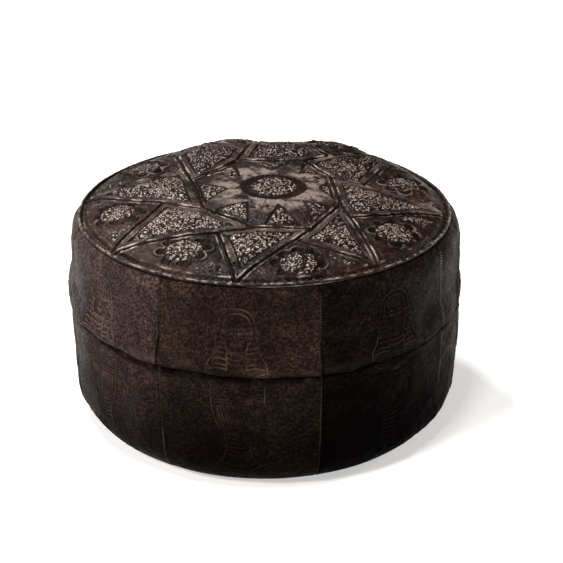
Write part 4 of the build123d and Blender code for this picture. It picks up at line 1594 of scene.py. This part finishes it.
# %% Stitches in the star's seams
star_stitch_pitch = 3.4
star_stitch_size = (1.5, 1.0, 0.7)
rows = []
strips = []
for start, end in star_seams:
    length = math.hypot(*(end - start))
    along = (end - start) / length
    travels = np.arange(1.0, length - 1.0, star_stitch_pitch)
    x = start[0] + travels * along[0]
    y = start[1] + travels * along[1]
    kept = np.hypot(x, y) < top_edge_radius - 3
    x, y = x[kept], y[kept]
    height = top_face(x, y)
    across = np.array((-along[1], along[0], 0.0))
    pale = 0.08 + 0.08 * ripple(x, y, 2.3, 6)
    places = np.stack((x, y, height - 1.45), axis=1)
    rows.append(stitches(places, [across] * len(x), [(0, 0, 1)] * len(x), star_stitch_size, pale))
    strips.append((np.stack((x, y, height - 1.75), axis=1), 0.96 * seam_gap * across, 0.3))
piece = sewn("star_stitches", rows, strips)
dress(piece, "thread", "star_seam_thread")
bpy.data.meshes.remove(lump_mesh)
print("star seams have", len(piece.data.polygons), "faces of thread")

# %% [markdown]
# ## Base
# The base is cut in two halves from the same leather, left plainer and dusty. It lies on the floor and
# rises to the zip along the middle, and at both ends of the zip it turns down again to the sewn edge.
# Wrinkles gather where it is sewn in, and a turned edge stands a little proud along the slot.

# %% Underside of the base
base_radius = 216.9
channel_rise = 8.2
slot_reach = 179.0
slot_edge = 7.5


def channel_height(x, y):
    """Height of the base's lower face: on the floor at its sewn edge, risen to the zip in the middle."""
    return channel_rise * ramp(-np.abs(y), -70, -20) * ramp(-np.hypot(x, y), -216, -206)


def base_face(x, y):
    """The underside of the base, wrinkled; no wrinkle hangs lower than the plain face."""
    reach = np.hypot(x, y)
    around = np.arctan2(x, -y) * base_radius
    gathers = 0.5 + 0.5 * ripple(around, reach * 0.2, 9, 1)
    gathers = gathers * ramp(reach, base_radius - 46, base_radius - 4)
    dents = 0.5 + 0.5 * ripple(x, y, 26, 2)
    slot = np.abs(np.abs(y) - slot_edge - 2.2)
    hem = ridge(slot, 1.6) * (np.abs(x) < slot_reach + 4)
    height = channel_height(x, y) + 1.1 * gathers + 0.6 * dents - 0.3 * hem
    height = height + 0.25 * (1 + ripple(x, y, 7, 3))
    # the hem along the slot is rubbed lighter with a painted highlight
    wear_and_painted_light = 0.4 * (1 - gathers) * ramp(np.clip(ripple(x, y, 31, 4), 0, 1), 0, 1) + 0.3 * hem - 0.2
    return np.stack((x, y, np.maximum(height, 0)), axis=1), wear_and_painted_light, 0 * x


def base_back(x, y):
    """The inner side of the base."""
    return np.stack((x, y, channel_height(x, y) + leather), axis=1)


# %% Base halves
base_spacing = 2.4
base_back_spacing = 5.0
beyond_base = 230
for side, turned_over in (("back", 1), ("front", -1)):
    outline = [
        np.array((x, turned_over * y))
        for x, y in (
            (-beyond_base, 0),
            (-slot_reach, 0),
            (-slot_reach, slot_edge),
            (slot_reach, slot_edge),
            (slot_reach, 0),
            (beyond_base, 0),
            (beyond_base, beyond_base),
            (-beyond_base, beyond_base),
        )
    ]
    face = flat_cut(outline, base_spacing, base_radius)
    back = flat_cut(outline, base_back_spacing, base_radius)
    piece = shaped_leather(f"base_leather_{side}", face, back, base_face, base_back, base_leather)
    dress(piece, "base_leather", f"base_half_{side}")
    print("base half has", len(piece.data.polygons), "faces")

# %% [markdown]
# ## Zip
# The teeth, stops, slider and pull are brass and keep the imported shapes, because they are hard and
# exact. The tapes are woven: each is a long grid with the ribs of a herringbone, given its thickness.

# %% Brass of the zip
dull_brass = (0.20, 0.13, 0.06, 1)
bright_brass = (0.48, 0.34, 0.16, 1)
brass = new_material("zip_brass")
brass_tree = brass.node_tree
brass_places = node(brass_tree, "ShaderNodeTexCoord").outputs["Object"]
brass_wear = noise(brass_tree, brass_places, 240, 5, 0.65)
brass_colour = mix_colour(brass_tree, spread(brass_tree, brass_wear, 0.35, 0.65), dull_brass, bright_brass)
brass_shader = node(brass_tree, "ShaderNodeBsdfPrincipled", Metallic=1.0)
link(brass_tree, brass_colour, brass_shader.inputs["Base Color"])
link(brass_tree, spread(brass_tree, brass_wear, 0.3, 0.7, 0.5, 0.28), brass_shader.inputs["Roughness"])
bumped(brass_tree, brass_shader, brass_wear, 0.25, 0.0001)
shown(brass_tree, brass_shader.outputs[0])
brass_names = (
    "zip_teeth_back",
    "zip_teeth_front",
    "zip_top_stops",
    "zip_bottom_stop",
    "zip_slider",
    "zip_pull",
)
for name in brass_names:
    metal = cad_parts[name].data
    metal.materials.clear()
    metal.materials.append(brass)
print(len(brass_names), "nodes of the zip are brass")


# %% Woven cloth
def woven_material(name, light, dark, threads, fuzz):
    """Plain-woven cloth: two sets of threads cross, and the cloth is a little uneven in tone."""
    made = new_material(name)
    tree = made.node_tree
    places = node(tree, "ShaderNodeTexCoord").outputs["Object"]
    warp = node(tree, "ShaderNodeTexWave", Scale=threads, Distortion=0.6, bands_direction="X")
    weft = node(tree, "ShaderNodeTexWave", Scale=threads, Distortion=0.6, bands_direction="Y")
    link(tree, places, warp.inputs["Vector"])
    link(tree, places, weft.inputs["Vector"])
    weave = maths(tree, "MULTIPLY", warp.outputs["Fac"], weft.outputs["Fac"])
    patchy = maths(tree, "MULTIPLY", noise(tree, places, 60), 0.6)
    tone = maths(tree, "ADD", maths(tree, "MULTIPLY", weave, 0.5), patchy)
    shader = node(tree, "ShaderNodeBsdfPrincipled", Roughness=0.9)
    shader.inputs["Specular IOR Level"].default_value = 0.1
    shader.inputs["Sheen Weight"].default_value = fuzz
    link(tree, mix_colour(tree, tone, (*dark, 1), (*light, 1)), shader.inputs["Base Color"])
    bumped(tree, shader, weave, 0.5, 0.0003)
    shown(tree, shader.outputs[0])
    return made


# %% The two tapes
tape_cloth = woven_material("tape_cloth", (0.03, 0.025, 0.022), (0.008, 0.0065, 0.006), 500, 0.1)
tape_half_length = 180.0
tape_edge = 2.0
tape_width = 16.0
tape_thickness = 0.8
tape_height = 10.3
rib_height = 0.05
rib_turn = 8
face_allowance = 0.06
for side, turned_over in (("back", 1), ("front", -1)):
    tape = bmesh.new()
    bmesh.ops.create_grid(tape, x_segments=360, y_segments=16, size=0.5)
    for vert in tape.verts:
        x = 2 * tape_half_length * vert.co.x
        across = tape_width * (vert.co.y + 0.5)
        rib = rib_height * math.sin(math.pi * (x + abs(across % rib_turn - rib_turn / 2)))
        vert.co = (x, turned_over * (tape_edge + across), tape_height + face_allowance + rib)
    bmesh.ops.recalc_face_normals(tape, faces=tape.faces)
    if tape.faces[0].normal.z > 0:
        bmesh.ops.reverse_faces(tape, faces=tape.faces)
    bmesh.ops.solidify(tape, geom=tape.faces[:], thickness=tape_thickness - 2 * face_allowance)
    bmesh.ops.recalc_face_normals(tape, faces=tape.faces)
    piece = finished(f"tape_cloth_{side}", tape, tape_cloth)
    dress(piece, "zip_tape", f"zip_tape_{side}")
    print("tape has", len(piece.data.polygons), "faces")

# %% [markdown]
# ## What the leather hides
# A cotton lining backs the top and the wall, a cotton bag holds the fibre, and a cord fills the welt.
# Nothing of them shows, so each takes the imported solid's own shape, made a little uneven
# as cloth and fibre are.

# %% Linings, bag, stuffing and cord
lining_cloth = woven_material("lining_cloth", (0.66, 0.62, 0.54), (0.5, 0.46, 0.39), 300, 0.5)
bag_cloth = woven_material("bag_cloth", (0.82, 0.8, 0.75), (0.66, 0.63, 0.57), 260, 0.5)
fibre = woven_material("stuffing_fibre", (0.86, 0.85, 0.81), (0.6, 0.58, 0.53), 90, 1.0)
cord_cotton = woven_material("cord_cotton", (0.78, 0.75, 0.69), (0.55, 0.52, 0.46), 700, 0.5)
merge_distance = 0.001
for node_name, slot, cloth_kind, depth in (
    ("top_lining", "lining_cotton", lining_cloth, 0.1),
    ("side_lining", "lining_cotton", lining_cloth, 0.1),
    ("liner_bag", "bag_cotton", bag_cloth, 0.1),
    ("stuffing", "stuffing_fibre", fibre, 0.15),
    ("welt_cord", "cotton_cord", cord_cotton, 0.05),
):
    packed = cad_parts[node_name]
    shape = bmesh.new()
    shape.from_mesh(packed.data)
    bmesh.ops.transform(shape, matrix=packed.matrix_world, verts=shape.verts)
    bmesh.ops.scale(shape, verts=shape.verts, vec=(1 / mm, 1 / mm, 1 / mm))
    bmesh.ops.remove_doubles(shape, verts=shape.verts, dist=merge_distance)
    shape.normal_update()
    flat = np.array([v.co[:] for v in shape.verts])
    uneven = depth * ripple(flat[:, 0] + flat[:, 2], flat[:, 1] - flat[:, 2], 17, 1)
    for vert, rise in zip(shape.verts, uneven.tolist()):
        vert.co = vert.co - vert.normal * (depth + rise)
    piece = finished(f"{node_name}_soft", shape, cloth_kind)
    dress(piece, slot, node_name)
    print(node_name, "has", len(piece.data.polygons), "faces")

# %% View transform
scene.view_settings.view_transform = "Standard"
